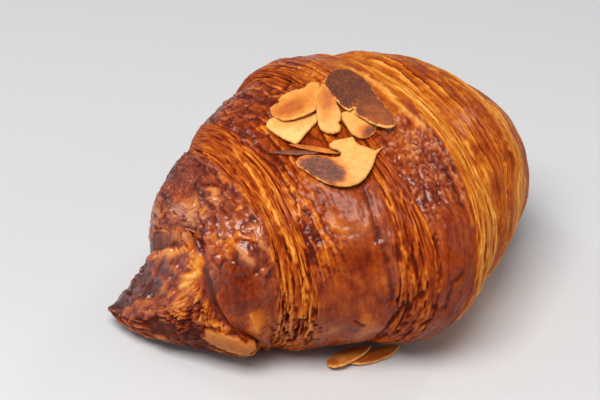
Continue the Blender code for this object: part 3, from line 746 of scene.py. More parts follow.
    # --- the flap of paler dough at the foot, between the nose and the first lobe ---
    centre = on_crust([-.598], [-27])[0]
    axis = on_crust([-.555], [-31])[0] - on_crust([-.64], [-24])[0]
    axis /= np.linalg.norm(axis)
    d = p - centre
    along = d @ axis
    other = np.sqrt(np.maximum((d * d).sum(axis=-1) - along**2, 0))
    flap = np.sqrt((along / 7.4) ** 2 + (other / 4.0) ** 2) + 0.16 * noise(w / 2.5, q / 2.5, 0.5, 77)
    on_flap = (1 - smoothstep(0.90, 1.0, flap)) * (deg < 30)
    rim = np.exp(-((flap - 1.10) / 0.10) ** 2) * (deg < 30)
    height = height * (1 - 0.85 * on_flap) + on_flap * (0.6 + 0.10 * mottle + 0.08 * streak2)
    height -= 0.3 * rim
    brown = brown * (1 - on_flap) + on_flap * (0.54 + 0.10 * mottle + 0.06 * streak2)
    dusk_and_sheen = np.maximum(dusk_and_sheen, 0.25 * on_flap)
    # the dark rim round the flap is painted shade in its groove
    brown += 0.14 * rim

    # --- creases of the noses, darkened with painted shade ---
    for line in (L[1], L[10]):
        d = w - line + 0.3
        fold = smoothstep(-24, -6, deg) * (1 - sides)
        height -= 0.7 * fold * np.exp(-(d / 0.7) ** 2)
        brown += 0.22 * fold * np.exp(-(d / 0.9) ** 2)

    # --- single marks ---
    wander = 0.22 * noise(w / 1.2, q / 1.2, 0.9, 79)
    wavering = p + 0.45 * warp2 + 0.35 * warp
    for line, width, rise, tone, share in MARKS:
        d = line_distance(line, wavering) * (1 + wander) + 0.4 * wander
        shape = np.exp(-(d / width) ** 2)
        height += rise * shape
        brown = brown * (1 - share * shape) + share * shape * (tone + 0.06 * mottle + 0.04 * streak2)
    for line, width, share in DUSK_AND_SHEEN:
        d = line_distance(line, p) * (1 + 1.5 * wander)
        dusk_and_sheen = np.maximum(dusk_and_sheen, share * np.exp(-(d / width) ** 2))
    dusk_and_sheen = dusk_and_sheen * (0.75 + 0.35 * mottle)

    # --- painted shade and light: cavities are darker, crests are paler ---
    local = height - blur(height, 4, 3)
    wide = height - blur(height, 14, 8)
    brown = brown - 0.45 * np.clip(local, -0.30, 0.25) - 0.08 * np.clip(wide, -1, 1)

    height = height * shown
    under = 1 - smoothstep(-50, -30, deg) * (1 - smoothstep(208, 230, deg))
    brown = brown - 0.04 * under
    gloss = np.clip((skin * (1 - in_strip) * (0.95 - 0.52 * right) + 0.18) * (1 - 0.7 * fringe)
                    * (1 - 0.6 * on_flap) * (1 - 0.3 * dusk_and_sheen) - 0.8 * np.clip(-local, 0, 1)
                    - 0.6 * under, 0, 1)
    gloss *= 1 - 0.75 * smoothstep(L[5] + 3, L[6], w) * (1 - smoothstep(0, 50, deg))
    wet = (0.45 * gloss * (1 - 0.6 * wrinkled_top) + 0.32 * tips * sleek
           + 0.15 * lobe_front * smoothstep(10, 30, deg)) * (
               1 - 0.6 * (band_ab + band_bc + lobe) * (1 - smoothstep(0, 30, deg)))
    return height, np.clip(brown, 0, 1), gloss, np.clip(dusk_and_sheen, 0, 1), np.clip(wet, 0, 1)


def grid_mesh(name, points):
    """A closed mesh over a grid whose rows go around and whose two ends close in a point."""
    nw, nt = points.shape[:2]
    verts = np.concatenate([points.reshape(-1, 3), points[0].mean(axis=0)[None],
                            points[-1].mean(axis=0)[None]])
    i, j = np.meshgrid(np.arange(nw - 1), np.arange(nt), indexing="ij")
    k = (j + 1) % nt
    quads = np.stack([i * nt + j, i * nt + k, (i + 1) * nt + k, (i + 1) * nt + j],
                     axis=-1).reshape(-1, 4)
    first, last = nw * nt, nw * nt + 1
    ring = np.arange(nt)
    nxt = (ring + 1) % nt
    start = np.stack([np.full(nt, first), nxt, ring], axis=-1)
    stop = np.stack([np.full(nt, last), (nw - 1) * nt + ring, (nw - 1) * nt + nxt], axis=-1)
    mesh = bpy.data.meshes.new(name)
    mesh.vertices.add(len(verts))
    mesh.vertices.foreach_set("co", (verts * MM).astype(np.float32).ravel())
    loops = np.concatenate([quads.ravel(), start.ravel(), stop.ravel()])
    mesh.loops.add(len(loops))
    mesh.loops.foreach_set("vertex_index", loops.astype(np.int32))
    starts = np.concatenate([np.arange(len(quads)) * 4,
                             len(quads) * 4 + np.arange(len(start) + len(stop)) * 3])
    mesh.polygons.add(len(starts))
    mesh.polygons.foreach_set("loop_start", starts.astype(np.int32))
    mesh.update(calc_edges=True)
    # a plain map over the grid
    uv = np.zeros((len(loops), 2))
    ui, vj = loops // nt, loops % nt
    uv[:, 0], uv[:, 1] = ui / nw, vj / nt
    seam = np.arange(len(quads)).reshape(nw - 1, nt)[:, -1]
    for corner in (1, 2):
        uv[seam * 4 + corner, 1] = 1.0
    tail = len(quads) * 4
    for m, (fan, u_tip) in enumerate(((start, 0.0), (stop, 1.0))):
        at = tail + m * nt * 3
        uv[at:at + nt * 3:3] = np.stack([np.full(nt, u_tip), (ring + 0.5) / nt], axis=-1)
        ends = (at + 1, at + 2) if m == 0 else (at + 2, at + 1)
        uv[ends[0]:at + nt * 3:3] = np.stack([np.full(nt, (m * (nw - 1)) / nw), (ring + 1) / nt], -1)
        uv[ends[1]:at + nt * 3:3] = np.stack([np.full(nt, (m * (nw - 1)) / nw), ring / nt], -1)
    layer = mesh.uv_layers.new(name="OFBake")
    layer.data.foreach_set("uv", uv.astype(np.float32).ravel())
    mesh.shade_smooth()
    return mesh


def set_field(mesh, name, values):
    attribute = mesh.attributes.new(name, "FLOAT", "POINT")
    attribute.data.foreach_set("value", np.asarray(values, np.float32).ravel())


def make_crust():
    s, theta, w, w_lines = grid()
    base = body_point(s, theta)
    normal = normals(base)
    height, brown, gloss, dusk_and_sheen, wet = make_fields(s, theta, w, w_lines, base, normal)
    end = np.clip((1 - np.abs(s)) / 0.06, 0, 1)
    points = base + normal * (height * end)[..., None]
    points[..., 2] = np.maximum(points[..., 2], 0.0)
    mesh = grid_mesh("crust_skin", points)
    tips = lambda f: np.concatenate([f.ravel(), [f[0].mean(), f[-1].mean()]])
    set_field(mesh, "brown", tips(brown))
    set_field(mesh, "gloss", tips(gloss))
    set_field(mesh, "dusk_and_sheen", tips(dusk_and_sheen))
    set_field(mesh, "wet", tips(wet))
    obj = bpy.data.objects.new("crust_skin", mesh)
    bpy.context.scene.collection.objects.link(obj)
    print("crust", len(mesh.vertices), "points,", 2 * len(mesh.polygons), "triangles")
    return obj


# =================================================================================================
# Materials
# =================================================================================================
def srgb(r, g, b):
    out = []
    for c in (r, g, b):
        c /= 255
        out.append(c / 12.92 if c <= 0.04045 else ((c + 0.055) / 1.055) ** 2.4)
    return (*out, 1.0)


class Nodes:
    """Short forms for building a material's nodes."""

    def __init__(self, name):
        self.mat = bpy.data.materials.new(name)
        self.mat.use_nodes = True
        self.tree = self.mat.node_tree
        self.shader = self.tree.nodes["Principled BSDF"]

    def add(self, kind, **values):
        node = self.tree.nodes.new(kind)
        for key, value in values.items():
            setattr(node, key, value)
        return node

    def link(self, a, b):
        self.tree.links.new(a, b)

    def math(self, operation, a, b=None, c=None):
        node = self.add("ShaderNodeMath", operation=operation)
        for i, value in enumerate((a, b, c)):
            if value is None:
                continue
            if isinstance(value, (int, float)):
                node.inputs[i].default_value = value
            else:
                self.link(value, node.inputs[i])
        return node.outputs[0]

    def field(self, name):
        return self.add("ShaderNodeAttribute", attribute_name=name).outputs["Fac"]

    def grain(self, scale, detail=3.0, rough=0.55, distort=0.0, vector=None):
        node = self.add("ShaderNodeTexNoise")
        node.inputs["Scale"].default_value = scale
        node.inputs["Detail"].default_value = detail
        node.inputs["Roughness"].default_value = rough
        node.inputs["Distortion"].default_value = distort
        self.link(vector if vector is not None else self.place(), node.inputs["Vector"])
        return node.outputs["Fac"]

    def place(self):
        if not hasattr(self, "_place"):
            self._place = self.add("ShaderNodeTexCoord").outputs["Object"]
        return self._place

    def mix(self, factor, a, b):
        node = self.add("ShaderNodeMix", data_type="RGBA")
        self.link(factor, node.inputs["Factor"])
        self.link(a, node.inputs[6])
        self.link(b, node.inputs[7])
        return node.outputs[2]

    def ramp(self, value, stops):
        node = self.add("ShaderNodeValToRGB")
        ramp = node.color_ramp
        while len(ramp.elements) < len(stops):
            ramp.elements.new(0.5)
        for element, (at, colour) in zip(ramp.elements, stops):
            element.position = at
            element.color = colour
        self.link(value, node.inputs["Fac"])
        return node.outputs["Color"]


def crust_material():
    n = Nodes("crust")
    fine = n.grain(1300, 3.0)
    patch = n.grain(330, 3.0, 0.6, 0.4)
    brown = n.field("brown")
    value = n.math("ADD", brown, n.math("MULTIPLY_ADD", fine, 0.16, -0.08))
    value = n.math("ADD", value, n.math("MULTIPLY_ADD", patch, 0.16, -0.08))
    colour = n.ramp(value, [
        (0.00, srgb(248, 204, 132)), (0.20, srgb(234, 166, 78)), (0.40, srgb(208, 124, 36)),
        (0.55, srgb(182, 90, 17)), (0.70, srgb(150, 60, 10)), (0.85, srgb(118, 36, 4)),
        (1.00, srgb(78, 20, 3))])
    # the dusky, purple-cast colour: partly the crust's own tone, partly a painted sheen
    dusk_and_sheen_colour = n.ramp(value, [(0.40, srgb(178, 124, 98)), (0.70, srgb(124, 71, 57)),
                           (1.00, srgb(58, 30, 28))])
    n.link(n.mix(n.field("dusk_and_sheen"), colour, dusk_and_sheen_colour), n.shader.inputs["Base Color"])
    gloss = n.field("gloss")
    rough = n.math("MULTIPLY_ADD", gloss, -0.34, 0.62)
    rough = n.math("ADD", rough, n.math("MULTIPLY_ADD", patch, 0.24, -0.12))
    n.link(rough, n.shader.inputs["Roughness"])
    n.link(n.field("wet"), n.shader.inputs["Coat Weight"])
    n.shader.inputs["Coat Roughness"].default_value = 0.18
    n.shader.inputs["Specular IOR Level"].default_value = 0.09
    n.shader.inputs["Specular Tint"].default_value = (1.0, 0.72, 0.50, 1.0)
    bump = n.add("ShaderNodeBump")
    bump.inputs["Strength"].default_value = 0.6
    bump.inputs["Distance"].default_value = 0.00035
    n.link(n.math("ADD", n.grain(900, 4.0, 0.6), n.math("MULTIPLY", n.grain(2600, 2.0), 0.4)),
           bump.inputs["Height"])
    n.link(bump.outputs["Normal"], n.shader.inputs["Normal"])
    return n.mat


# =================================================================================================
# Almond flakes
# =================================================================================================
SLICE_THICK = 0.9
GAP = 0.10
# Each slice on the crown: where its middle lies, its offset and turn there, and how far it bends
CROWN_SLICES = {
    "flake_fan_lower": ((-.26, 80), (0.4, -0.9), -6, 0.7),
    "flake_fan_small": ((-.06, 74), (-0.3, -2.4), -68, 0.7),
    "flake_broken": ((-.20, 60), (-0.9, -0.4), -13, 0.5),
    "flake_fan_upper": ((-.19, 91), (0.7, -1.8), 23, 0.5),
    "flake_fan_slim": ((-.13, 79), (0.8, -0.5), 69, 0.6),
    "flake_dark_whole": ((.02, 82), (-3.0, -3.5), -99, 0.6),
}
# Each slice under the foot: middle, turn, bow
FOOT_SLICES = {
    "flake_foot_far": ((-11.2, -32.8), -11, 0.35),
    "flake_foot_near": ((-17.6, -29.4), -8, 0.20),
}
# Outlines in millimetres, along and across each slice
SHAPES = {
    "flake_fan_lower": ((-6.3, 3.4), (-5.9, 1.8), (-4.9, -0.4), (-3.6, -2.7), (-2.6, -3.9),
                        (-1.4, -5.3), (0.3, -4.4), (2.3, -2.7), (4.9, -0.9), (6.2, 0.2), (6.6, 2.6),
                        (3.0, 5.2), (-1.0, 5.8), (-4.8, 5.2)),
    "flake_fan_small": ((-4.3, -0.9), (-2.9, -2.5), (-0.4, -3.8), (1.5, -4.8), (3.3, -4.9),
                        (4.9, -4.2), (5.7, -2.8), (5.9, -0.8), (4.0, 2.2), (0.0, 2.6), (-3.0, 1.2)),
    "flake_broken": ((-9.3, 1.0), (-8.4, 2.3), (-6.6, 2.7), (-4.2, 2.3), (-2.0, 1.6), (0.2, 1.0),
                     (1.4, 1.2), (1.6, 2.0), (0.9, 2.9), (-0.4, 3.5), (-1.0, 4.6), (0.1, 5.7),
                     (2.6, 6.0), (5.0, 6.0), (5.6, 4.6), (7.1, 3.4), (8.8, 2.5), (10.2, 1.7),
                     (12.4, 2.8), (10.4, 0.6), (9.8, -0.9), (8.8, -3.1), (7.3, -5.3), (5.3, -6.8),
                     (2.8, -7.3), (0.0, -6.8), (-2.8, -5.5), (-5.3, -3.6), (-7.3, -1.6),
                     (-8.9, -0.2)),
    "flake_fan_upper": ((-7.4, 0.6), (-7.7, -1.9), (-6.3, -4.1), (-4.1, -5.9), (-1.7, -7.1),
                        (0.3, -7.0), (3.0, -5.6), (6.0, -3.7), (7.9, -1.7), (7.9, 0.0), (6.5, 0.8),
                        (4.8, 0.7), (3.7, 2.1), (2.1, 3.4), (0.2, 4.2), (-1.3, 4.2), (-2.2, 3.3),
                        (-3.2, 3.9), (-4.9, 4.2), (-6.7, 2.6)),
    "flake_fan_slim": ((-1.0, 2.9), (-3.4, 3.0), (-5.1, 2.6), (-6.2, 1.2), (-6.5, -0.2),
                       (-6.1, -1.8), (-4.9, -2.5), (-4.0, -2.1), (-3.0, -2.8), (-1.0, -3.1),
                       (3.0, -2.1), (6.2, -1.0), (7.2, 0.2), (5.2, 1.2), (2.2, 2.3)),
    "flake_dark_whole": ((-13.4, 2.4), (-12.3, 4.5), (-9.8, 5.8), (-6.0, 6.2), (-2.0, 5.9),
                         (3.0, 5.1), (7.2, 4.7), (11.0, 4.5), (13.3, 4.0), (14.4, 2.7),
                         (14.0, 1.0), (12.4, -0.5), (10.5, -1.6), (8.5, -2.2), (6.6, -2.9),
                         (5.0, -2.9), (4.3, -2.1), (3.9, -2.6), (4.1, -3.7), (2.6, -4.3),
                         (-1.0, -4.4), (-4.5, -4.3), (-7.6, -3.9), (-10.2, -2.7), (-12.5, -0.2)),
    "flake_foot_far": ((-7.2, 0.3), (-5.4, -1.5), (-1.0, -2.2), (3.4, -1.9), (6.9, -0.3),
                       (7.5, 0.9), (5.0, 2.0), (0.6, 2.3), (-4.0, 1.9)),
    "flake_foot_near": ((-5.9, -0.6), (-5.3, -2.5), (-3.2, -3.5), (0.2, -3.3), (3.4, -2.6),
                        (6.2, -1.3), (6.9, 0.2), (4.6, 1.9), (1.6, 3.0), (-2.0, 2.9), (-4.8, 1.5)),
    "sliver_dark": ((-7.0, 0.2), (-3.4, -0.6), (0.6, -0.9), (4.6, -0.5), (6.6, 0.3), (3.4, 0.7),
                    (-1.6, 0.8)),
    "sliver_pale": ((-6.0, 0.5), (-2.6, -0.5), (1.8, -0.9), (5.6, -0.6), (6.8, 0.1), (4.2, 0.9),
                    (0.2, 1.1), (-3.6, 1.0)),
}
SLIVERS = {
    "sliver_dark": ((-.304, 68), (0.0, 0.3), -24, 0.9),
    "sliver_pale": ((-.250, 67), (0.0, 0.2), -30, 0.9),
}
# where each slice browned: its pale tone, then
# (x, y, half length, half width, turn, softness, tone)
TOASTED = {
    "flake_fan_lower": (0.10, ((-0.5, 3.0, 5.0, 2.2, 0, 0.8, 0.26), (2.5, 0.0, 2.4, 0.9, 35, 0.8, 0.22))),
    "flake_fan_small": (0.24, ((5.8, -2.2, 2.6, 2.4, 0, 0.7, 0.84),)),
    "flake_broken": (0.24, ((-3.0, -2.0, 6.9, 3.9, -30, 0.45, 0.58), (-3.2, -2.0, 6.0, 2.8, -30, 0.26, 0.97))),
    "flake_fan_upper": (0.26, ((3.5, -2.5, 3.0, 2.4, 0, 0.7, 0.36), (-3.4, -1.2, 4.8, 3.6, -25, 0.7, 0.60))),
    "flake_fan_slim": (0.22, ((2.6, -0.3, 4.8, 2.2, -10, 0.7, 0.56),)),
    "flake_dark_whole": (0.97, ((9.4, 0.8, 6.0, 4.0, 0, 0.7, 0.72),)),
    "flake_foot_far": (0.56, ((-1.0, -1.2, 5.0, 1.0, 0, 0.6, 0.68), (5.6, 0.6, 2.4, 1.4, 0, 0.7, 0.34))),
    "flake_foot_near": (0.30, ((-4.6, -0.6, 1.6, 2.0, 0, 0.6, 0.58), (1.0, -2.4, 4.0, 0.8, 10, 0.7, 0.46),
                               (2.0, 1.6, 4.0, 0.8, 0, 0.6, 0.44))),
    "sliver_dark": (0.85, ()),
    "sliver_pale": (0.55, ((3.0, 0.0, 3.0, 1.0, 0, 0.6, 0.44),)),
}


def outline_points(name, seed):
    """The outline as a smooth closed line, with the small teeth that breaking leaves."""
    corner = np.array(SHAPES[name], float)
    before, after, beyond = (np.roll(corner, k, axis=0) for k in (1, -1, -2))
    out = []
    for a, b, c, d in zip(before, corner, after, beyond):
        count = max(int(round(np.linalg.norm(c - b) / 0.33)), 2)
        t = np.linspace(0, 1, count, endpoint=False)[:, None]
        m0, m1 = 0.38 * (c - a), 0.38 * (d - b)
        out.append((2 * t**3 - 3 * t**2 + 1) * b + (t**3 - 2 * t**2 + t) * m0
                   + (-2 * t**3 + 3 * t**2) * c + (t**3 - t**2) * m1)
    line = np.concatenate(out)
    x, y = line.T
    if (x * np.roll(y, -1) - y * np.roll(x, -1)).sum() < 0:
        line = line[::-1]
    tangent = np.roll(line, -1, axis=0) - np.roll(line, 1, axis=0)
    tangent /= np.linalg.norm(tangent, axis=1, keepdims=True)
    outward = np.stack([tangent[:, 1], -tangent[:, 0]], axis=1)
    teeth = 0.09 * noise(line[:, 0] / 0.9, line[:, 1] / 0.9, 0.3, seed)
    teeth += 0.05 * noise(line[:, 0] / 0.45, line[:, 1] / 0.45, 0.3, seed + 1)
    return line + outward * (teeth * (0.5 if "dark" in name else 1.0))[:, None], outward


def edge_distance(points, line):
    """Distance from points in the plane to a closed line."""
    a, b = line, np.roll(line, -1, axis=0)
    ab = b - a
    ap = points[:, None] - a[None]
    t = np.clip((ap * ab).sum(-1) / ((ab * ab).sum(-1) + 1e-12), 0, 1)
    return np.linalg.norm(ap - t[..., None] * ab, axis=-1).min(axis=1)


def within(points, line):
    a, b = line, np.roll(line, -1, axis=0)
    x, y = points[:, 0:1], points[:, 1:2]
    rising = (a[:, 1] > y) != (b[:, 1] > y)
    cross = a[:, 0] + (y - a[:, 1]) / (b[:, 1] - a[:, 1] + 1e-12) * (b[:, 0] - a[:, 0])
    return (rising & (x < cross)).sum(axis=1) % 2 == 1


def resting_place(samples, place_frame, bend, support, start_height=30.0):
    """Lower a stiff slice onto what lies under it: the tilt that brings its middle lowest."""
    down = -place_frame.col[2].to_3d()
    ground = []
    for x, y in samples:
        start = place_frame @ Vector((x, y, start_height))
        best = -start_height
        for tree in support:
            hit = tree.ray_cast(start, down, 2 * start_height)
            if hit[0] is not None:
                best = max(best, start_height - hit[3])
        ground.append(best)
    ground = np.array(ground)
    bow = bend[0] * samples[:, 0] ** 2 + bend[1] * samples[:, 1] ** 2
    tx, ty = np.meshgrid(np.linspace(-0.30, 0.30, 61), np.linspace(-0.40, 0.40, 81), indexing="ij")
    need = ((ground + bow)[:, None, None] - tx * samples[:, 0, None, None]
            - ty * samples[:, 1, None, None]).max(axis=0)
    k = np.unravel_index(np.argmin(need), need.shape)
    return need[k], tx[k], ty[k]


def tree_of(obj):
    data = obj.data
    points = np.empty(len(data.vertices) * 3)
    data.vertices.foreach_get("co", points)
    data.calc_loop_triangles()
    tris = np.empty(len(data.loop_triangles) * 3, np.int32)
    data.loop_triangles.foreach_get("vertices", tris)
    return BVHTree.FromPolygons((points.reshape(-1, 3) / MM).tolist(), tris.reshape(-1, 3).tolist())


def slice_piece(name, place_frame, bend, support, seed, thick=SLICE_THICK, start_height=30.0):
    """A thin slice laid where it rests: rounded rim, gentle waves, and the fields of its finish."""
    line, outward = outline_points(name, seed)
    grid_x, grid_y = np.meshgrid(np.arange(-15, 15.1, 0.5), np.arange(-8, 8.1, 0.43))
    grid_x[::2] += 0.25
    inner = np.stack([grid_x.ravel(), grid_y.ravel()], axis=1)
    inner = inner[within(inner, line)]
    inner = inner[edge_distance(inner, line) > 0.62]
    rings = []
    for inset in (0.09, 0.22, 0.42):
        ring = line[::2] - outward[::2] * inset
        keep = within(ring, line)
        keep[keep] = edge_distance(ring[keep], line) > 0.85 * inset
        rings.append(ring[keep])
    flat = np.concatenate([line] + rings + [inner])
    n = len(line)
    made = delaunay_2d_cdt([Vector(v) for v in flat], [], [list(range(n))], 1, 1e-5)
    flat = np.array([tuple(v) for v in made[0]])
    tris = [tuple(f) for f in made[2]]
    e = edge_distance(flat, line)
    x, y = flat.T
    # resting place
    samples = np.concatenate([line[::3], inner[::5]])
    height, tilt_x, tilt_y = resting_place(samples, place_frame, bend, support, start_height)
    half = thick / 2
    dome = half * np.sqrt(np.clip(1 - (1 - np.clip(e / 0.40, 0, 1)) ** 2, 0, 1))
    soft = smoothstep(0.1, 0.8, e)
    waves = (0.09 * noise(x / 2.6, y / 2.6, 0.3, seed + 3) + 0.05 * noise(x / 1.0, y / 1.0, 0.3, seed + 4)
             + 0.03 * noise(x / 2.2, y / 0.5, 0.7, seed + 5)) * soft
    lift = height + tilt_x * x + tilt_y * y - bend[0] * x * x - bend[1] * y * y + GAP + half
    rimmed = e < 1e-4
    top = np.stack([x, y, lift + np.where(rimmed, 0, dome + waves)], axis=1)
    low = np.stack([x, y, lift - dome], axis=1)
    under = np.where(rimmed, np.arange(len(flat)), -1)
    under[~rimmed] = len(flat) + np.arange((~rimmed).sum())
    points = np.concatenate([top, low[~rimmed]])
    points = [place_frame @ Vector(v) * MM for v in points]
    faces = []
    for a, b, c in tris:
        if np.cross(flat[b] - flat[a], flat[c] - flat[a]) < 0:
            b, c = c, b
        faces.append((a, b, c))
        faces.append((int(under[a]), int(under[c]), int(under[b])))
    # where it browned
    pale, patches = TOASTED[name]
    tone = np.full(len(flat), pale)
    wobble = 0.18 * noise(x / 2.2, y / 2.2, 1.7, seed + 2) + 0.08 * noise(x / 0.8, y / 0.8, 1.7, seed + 6)
    for px, py, rx, ry, turn, soft_edge, level in patches:
        c, d = math.cos(math.radians(turn)), math.sin(math.radians(turn))
        u, v = (x - px) * c + (y - py) * d, -(x - px) * d + (y - py) * c
        t = 1 - smoothstep(1 - soft_edge, 1 + soft_edge, np.hypot(u / rx, v / ry) + wobble)
        tone = tone * (1 - t) + level * t
    mesh = bpy.data.meshes.new(name + "_seen")
    mesh.from_pydata(points, [], faces)
    mesh.update()
    mesh.shade_smooth()
    both = lambda f: np.concatenate([f, f[~rimmed]])
    set_field(mesh, "toast", both(tone))
    set_field(mesh, "edge", both(e + (1.0 if thick < SLICE_THICK else 0.0)))
    set_field(mesh, "along", both(x))
    set_field(mesh, "across", both(y))
    obj = bpy.data.objects.new(name + "_seen", mesh)
    bpy.context.scene.collection.objects.link(obj)
    return obj


def crown_slice(name, spec, support, seed, thick=SLICE_THICK):
    (s0, degrees), (off_x, off_y), turn, follow = spec
    theta0 = math.radians(degrees)
    base = Vector(crust_point(s0, theta0) + SHIFT)
    reach_s, reach_t = 7.0 / HALF_LENGTH, 7.0 / 50.0
    along = Vector(crust_point(s0 + reach_s, theta0) - crust_point(s0 - reach_s, theta0))
    turnwise = Vector(crust_point(s0, theta0 + reach_t) - crust_point(s0, theta0 - reach_t))
    normal = along.cross(turnwise).normalized()
    if normal.z < 0:
        normal.negate()
    along = (along - normal * along.dot(normal)).normalized()
    side = normal.cross(along)
    angle = math.radians(turn)
    long_way = along * math.cos(angle) + side * math.sin(angle)
    cross_way = normal.cross(long_way)
    place_frame = Matrix((long_way, cross_way, normal)).transposed().to_4x4()
    place_frame.translation = base + along * off_x + side * off_y
    round_section, lengthways = 1 / (2 * 58.0) * follow, 1 / (2 * 150.0) * follow
    share = abs(math.sin(angle))
    bend = (round_section * share**2 + lengthways * (1 - share**2),
            round_section * (1 - share**2) + lengthways * share**2)
    return slice_piece(name, place_frame, bend, support, seed, thick)


def foot_slice(name, spec, support, seed):
    (x0, y0), turn, bow = spec
    place_frame = Matrix.Translation(Vector((x0, y0, 0)) + Vector(SHIFT)) @ Matrix.Rotation(
        math.radians(turn), 4, "Z")
    return slice_piece(name, place_frame, (-bow / 49.0, 0.0), support, seed, start_height=8.0)


def flake_material():
    n = Nodes("almond")
    tone, edge = n.field("toast"), n.field("edge")
    own = n.add("ShaderNodeCombineXYZ")
    n.link(n.math("MULTIPLY", n.field("along"), 0.35), own.inputs[0])
    n.link(n.math("MULTIPLY", n.field("across"), 1.8), own.inputs[1])
    fibre = n.grain(1.0, 3.0, 0.6, 0.2, own.outputs[0])
    fine = n.grain(1800, 3.0)
    patch = n.grain(420, 3.0, 0.6, 0.3)
    # the rim stays pale
    inner = n.add("ShaderNodeMapRange", interpolation_type="SMOOTHSTEP")
    inner.inputs["From Min"].default_value = 0.02
    inner.inputs["From Max"].default_value = 0.42
    n.link(n.math("MULTIPLY_ADD", patch, 0.8, n.math("SUBTRACT", edge, 0.40)), inner.inputs["Value"])
    spread = n.math("MULTIPLY", n.math("SUBTRACT", tone, 0.22), inner.outputs["Result"])
    value = n.math("ADD", spread, 0.22)
    value = n.math("ADD", value, n.math("MULTIPLY_ADD", fine, 0.20, -0.10))
    value = n.math("ADD", value, n.math("MULTIPLY_ADD", patch, 0.30, -0.15))
    value = n.math("ADD", value, n.math("MULTIPLY_ADD", fibre, 0.18, -0.09))
    # toasted skin is finely streaked
    vein = n.add("ShaderNodeCombineXYZ")
    n.link(n.math("MULTIPLY", n.field("along"), 1.3), vein.inputs[0])
    n.link(n.math("MULTIPLY", n.field("across"), 3.4), vein.inputs[1])
    speck = n.add("ShaderNodeMapRange")
    speck.inputs["From Min"].default_value = 0.50
    speck.inputs["From Max"].default_value = 0.68
    speck.inputs["To Max"].default_value = 0.36
    n.link(n.grain(1.0, 4.0, 0.6, 1.2, vein.outputs[0]), speck.inputs["Value"])
    burnt = n.math("GREATER_THAN", tone, 0.86)
    value = n.math("SUBTRACT", value, n.math("MULTIPLY", speck.outputs["Result"], burnt))
    colour = n.ramp(value, [
        (0.00, srgb(240, 192, 122)), (0.22, srgb(224, 160, 82)), (0.42, srgb(208, 126, 46)),
        (0.60, srgb(178, 90, 34)), (0.78, srgb(128, 66, 38)), (1.00, srgb(82, 44, 33))])
    n.link(colour, n.shader.inputs["Base Color"])
    n.link(n.math("MULTIPLY_ADD", patch, 0.2, 0.40), n.shader.inputs["Roughness"])
    n.shader.inputs["Specular IOR Level"].default_value = 0.3
    bump = n.add("ShaderNodeBump")
    bump.inputs["Strength"].default_value = 0.6
    bump.inputs["Distance"].default_value = 0.0002
    n.link(n.math("ADD", n.math("ADD", n.grain(700, 4.0, 0.6), fibre), n.math("MULTIPLY", fine, 0.5)),
           bump.inputs["Height"])
    n.link(bump.outputs["Normal"], n.shader.inputs["Normal"])
    return n.mat


# =================================================================================================
# Build
# =================================================================================================
crust = make_crust()
crust.data.materials.append(crust_material())
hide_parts("croissant")
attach(crust, "root")

almond = flake_material()
support = [tree_of(crust)]
flakes = []
for k, (name, spec) in enumerate(SLIVERS.items()):
    sliver = crown_slice(name, spec, support, 200 + 10 * k, 0.45)
    sliver.data.materials.append(almond)
    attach(sliver, "root")
    support.append(tree_of(sliver))
for k, (name, spec) in enumerate(CROWN_SLICES.items()):
    flakes.append(crown_slice(name, spec, support, 300 + 10 * k))
    support.append(tree_of(flakes[-1]))
ground = BVHTree.FromPolygons([(-99, -99, -GAP), (99, -99, -GAP), (99, 99, -GAP), (-99, 99, -GAP)],
                              [(0, 1, 2, 3)])
foot_support = [ground]
for k, (name, spec) in enumerate(FOOT_SLICES.items()):
    flakes.append(foot_slice(name, spec, foot_support, 400 + 10 * k))
    foot_support.append(tree_of(flakes[-1]))
for flake, name in zip(flakes, list(CROWN_SLICES) + list(FOOT_SLICES)):
    flake.data.materials.append(almond)
    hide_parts(name)
    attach(flake, "root")

# ---- floor, light and camera ---------------------------------------------------------------------
floor_mesh = bpy.data.meshes.new("floor")
floor_mesh.from_pydata([(-3, -3, 0), (3, -3, 0), (3, 3, 0), (-3, 3, 0)], [], [(0, 1, 2, 3)])
floor = bpy.data.objects.new("floor", floor_mesh)
floor.location.z = -0.0002
bpy.context.scene.collection.objects.link(floor)
floor_nodes = Nodes("floor")
floor_nodes.shader.inputs["Base Color"].default_value = srgb(204, 204, 206)
floor_nodes.shader.inputs["Roughness"].default_value = 0.55
floor_mesh.materials.append(floor_nodes.mat)

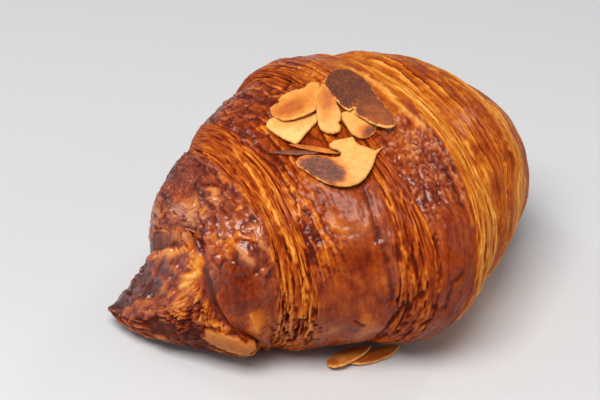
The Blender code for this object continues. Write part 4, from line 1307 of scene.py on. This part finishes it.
AZIMUTH, ELEVATION = math.radians(-37.268), math.radians(33.5)
back = Vector((math.sin(AZIMUTH) * math.cos(ELEVATION), -math.cos(AZIMUTH) * math.cos(ELEVATION),
               math.sin(ELEVATION)))
right_way = Vector((math.cos(AZIMUTH), math.sin(AZIMUTH), 0))
away = Vector((-math.sin(AZIMUTH), math.cos(AZIMUTH), 0))
target = (right_way * -7.915 + away * 39.481 + Vector(SHIFT)) * MM
camera_data = bpy.data.cameras.new("camera")
camera_data.lens = 127.8
camera_data.sensor_width = 36.0
camera_data.clip_start = 0.01
camera = bpy.data.objects.new("camera", camera_data)
camera.location = target + back * 0.600
camera.rotation_mode = "QUATERNION"
camera.rotation_quaternion = (-back).to_track_quat("-Z", "Y")
bpy.context.scene.collection.objects.link(camera)
bpy.context.scene.camera = camera


def lamp(name, place, aim, size, power, colour=(1, 1, 1)):
    data = bpy.data.lights.new(name, "AREA")
    data.shape = "RECTANGLE"
    data.size, data.size_y = size
    data.energy = power
    data.color = colour
    obj = bpy.data.objects.new(name, data)
    obj.location = place
    obj.rotation_mode = "QUATERNION"
    obj.rotation_quaternion = (Vector(place) - Vector(aim)).to_track_quat("Z", "Y")
    bpy.context.scene.collection.objects.link(obj)
    return obj


def staged(side, depth, up):
    """A place given from the camera's side: to its right, away from it, and up, in metres."""
    return right_way * side + away * depth + Vector((0, 0, up))


aim = Vector((0, 0, 0.03))
lamp("over", staged(-0.12, -0.38, 0.72), aim, (0.44, 0.36), 8.0, (1.0, 0.985, 0.96))
lamp("left", staged(-0.56, 0.36, 0.52), aim, (0.13, 0.13), 0.8, (0.98, 0.99, 1.0))
lamp("low left", staged(-0.80, -0.02, 0.19), aim, (0.09, 0.11), 1.2, (0.98, 0.99, 1.0))
lamp("right", staged(0.70, -0.25, 0.35), aim, (0.5, 0.5), 1.0, (1.0, 0.99, 0.97))
lamp("behind", staged(0.50, 0.45, 0.66), aim, (0.17, 0.17), 1.0, (1.0, 0.99, 0.97))

world = bpy.data.worlds.new("studio")
bpy.context.scene.world = world
world.use_nodes = True
world.node_tree.nodes["Background"].inputs["Color"].default_value = (0.93, 0.95, 1.0, 1)
world.node_tree.nodes["Background"].inputs["Strength"].default_value = 0.17
bpy.context.scene.view_settings.view_transform = "Standard"
bpy.context.scene.view_settings.look = "None"
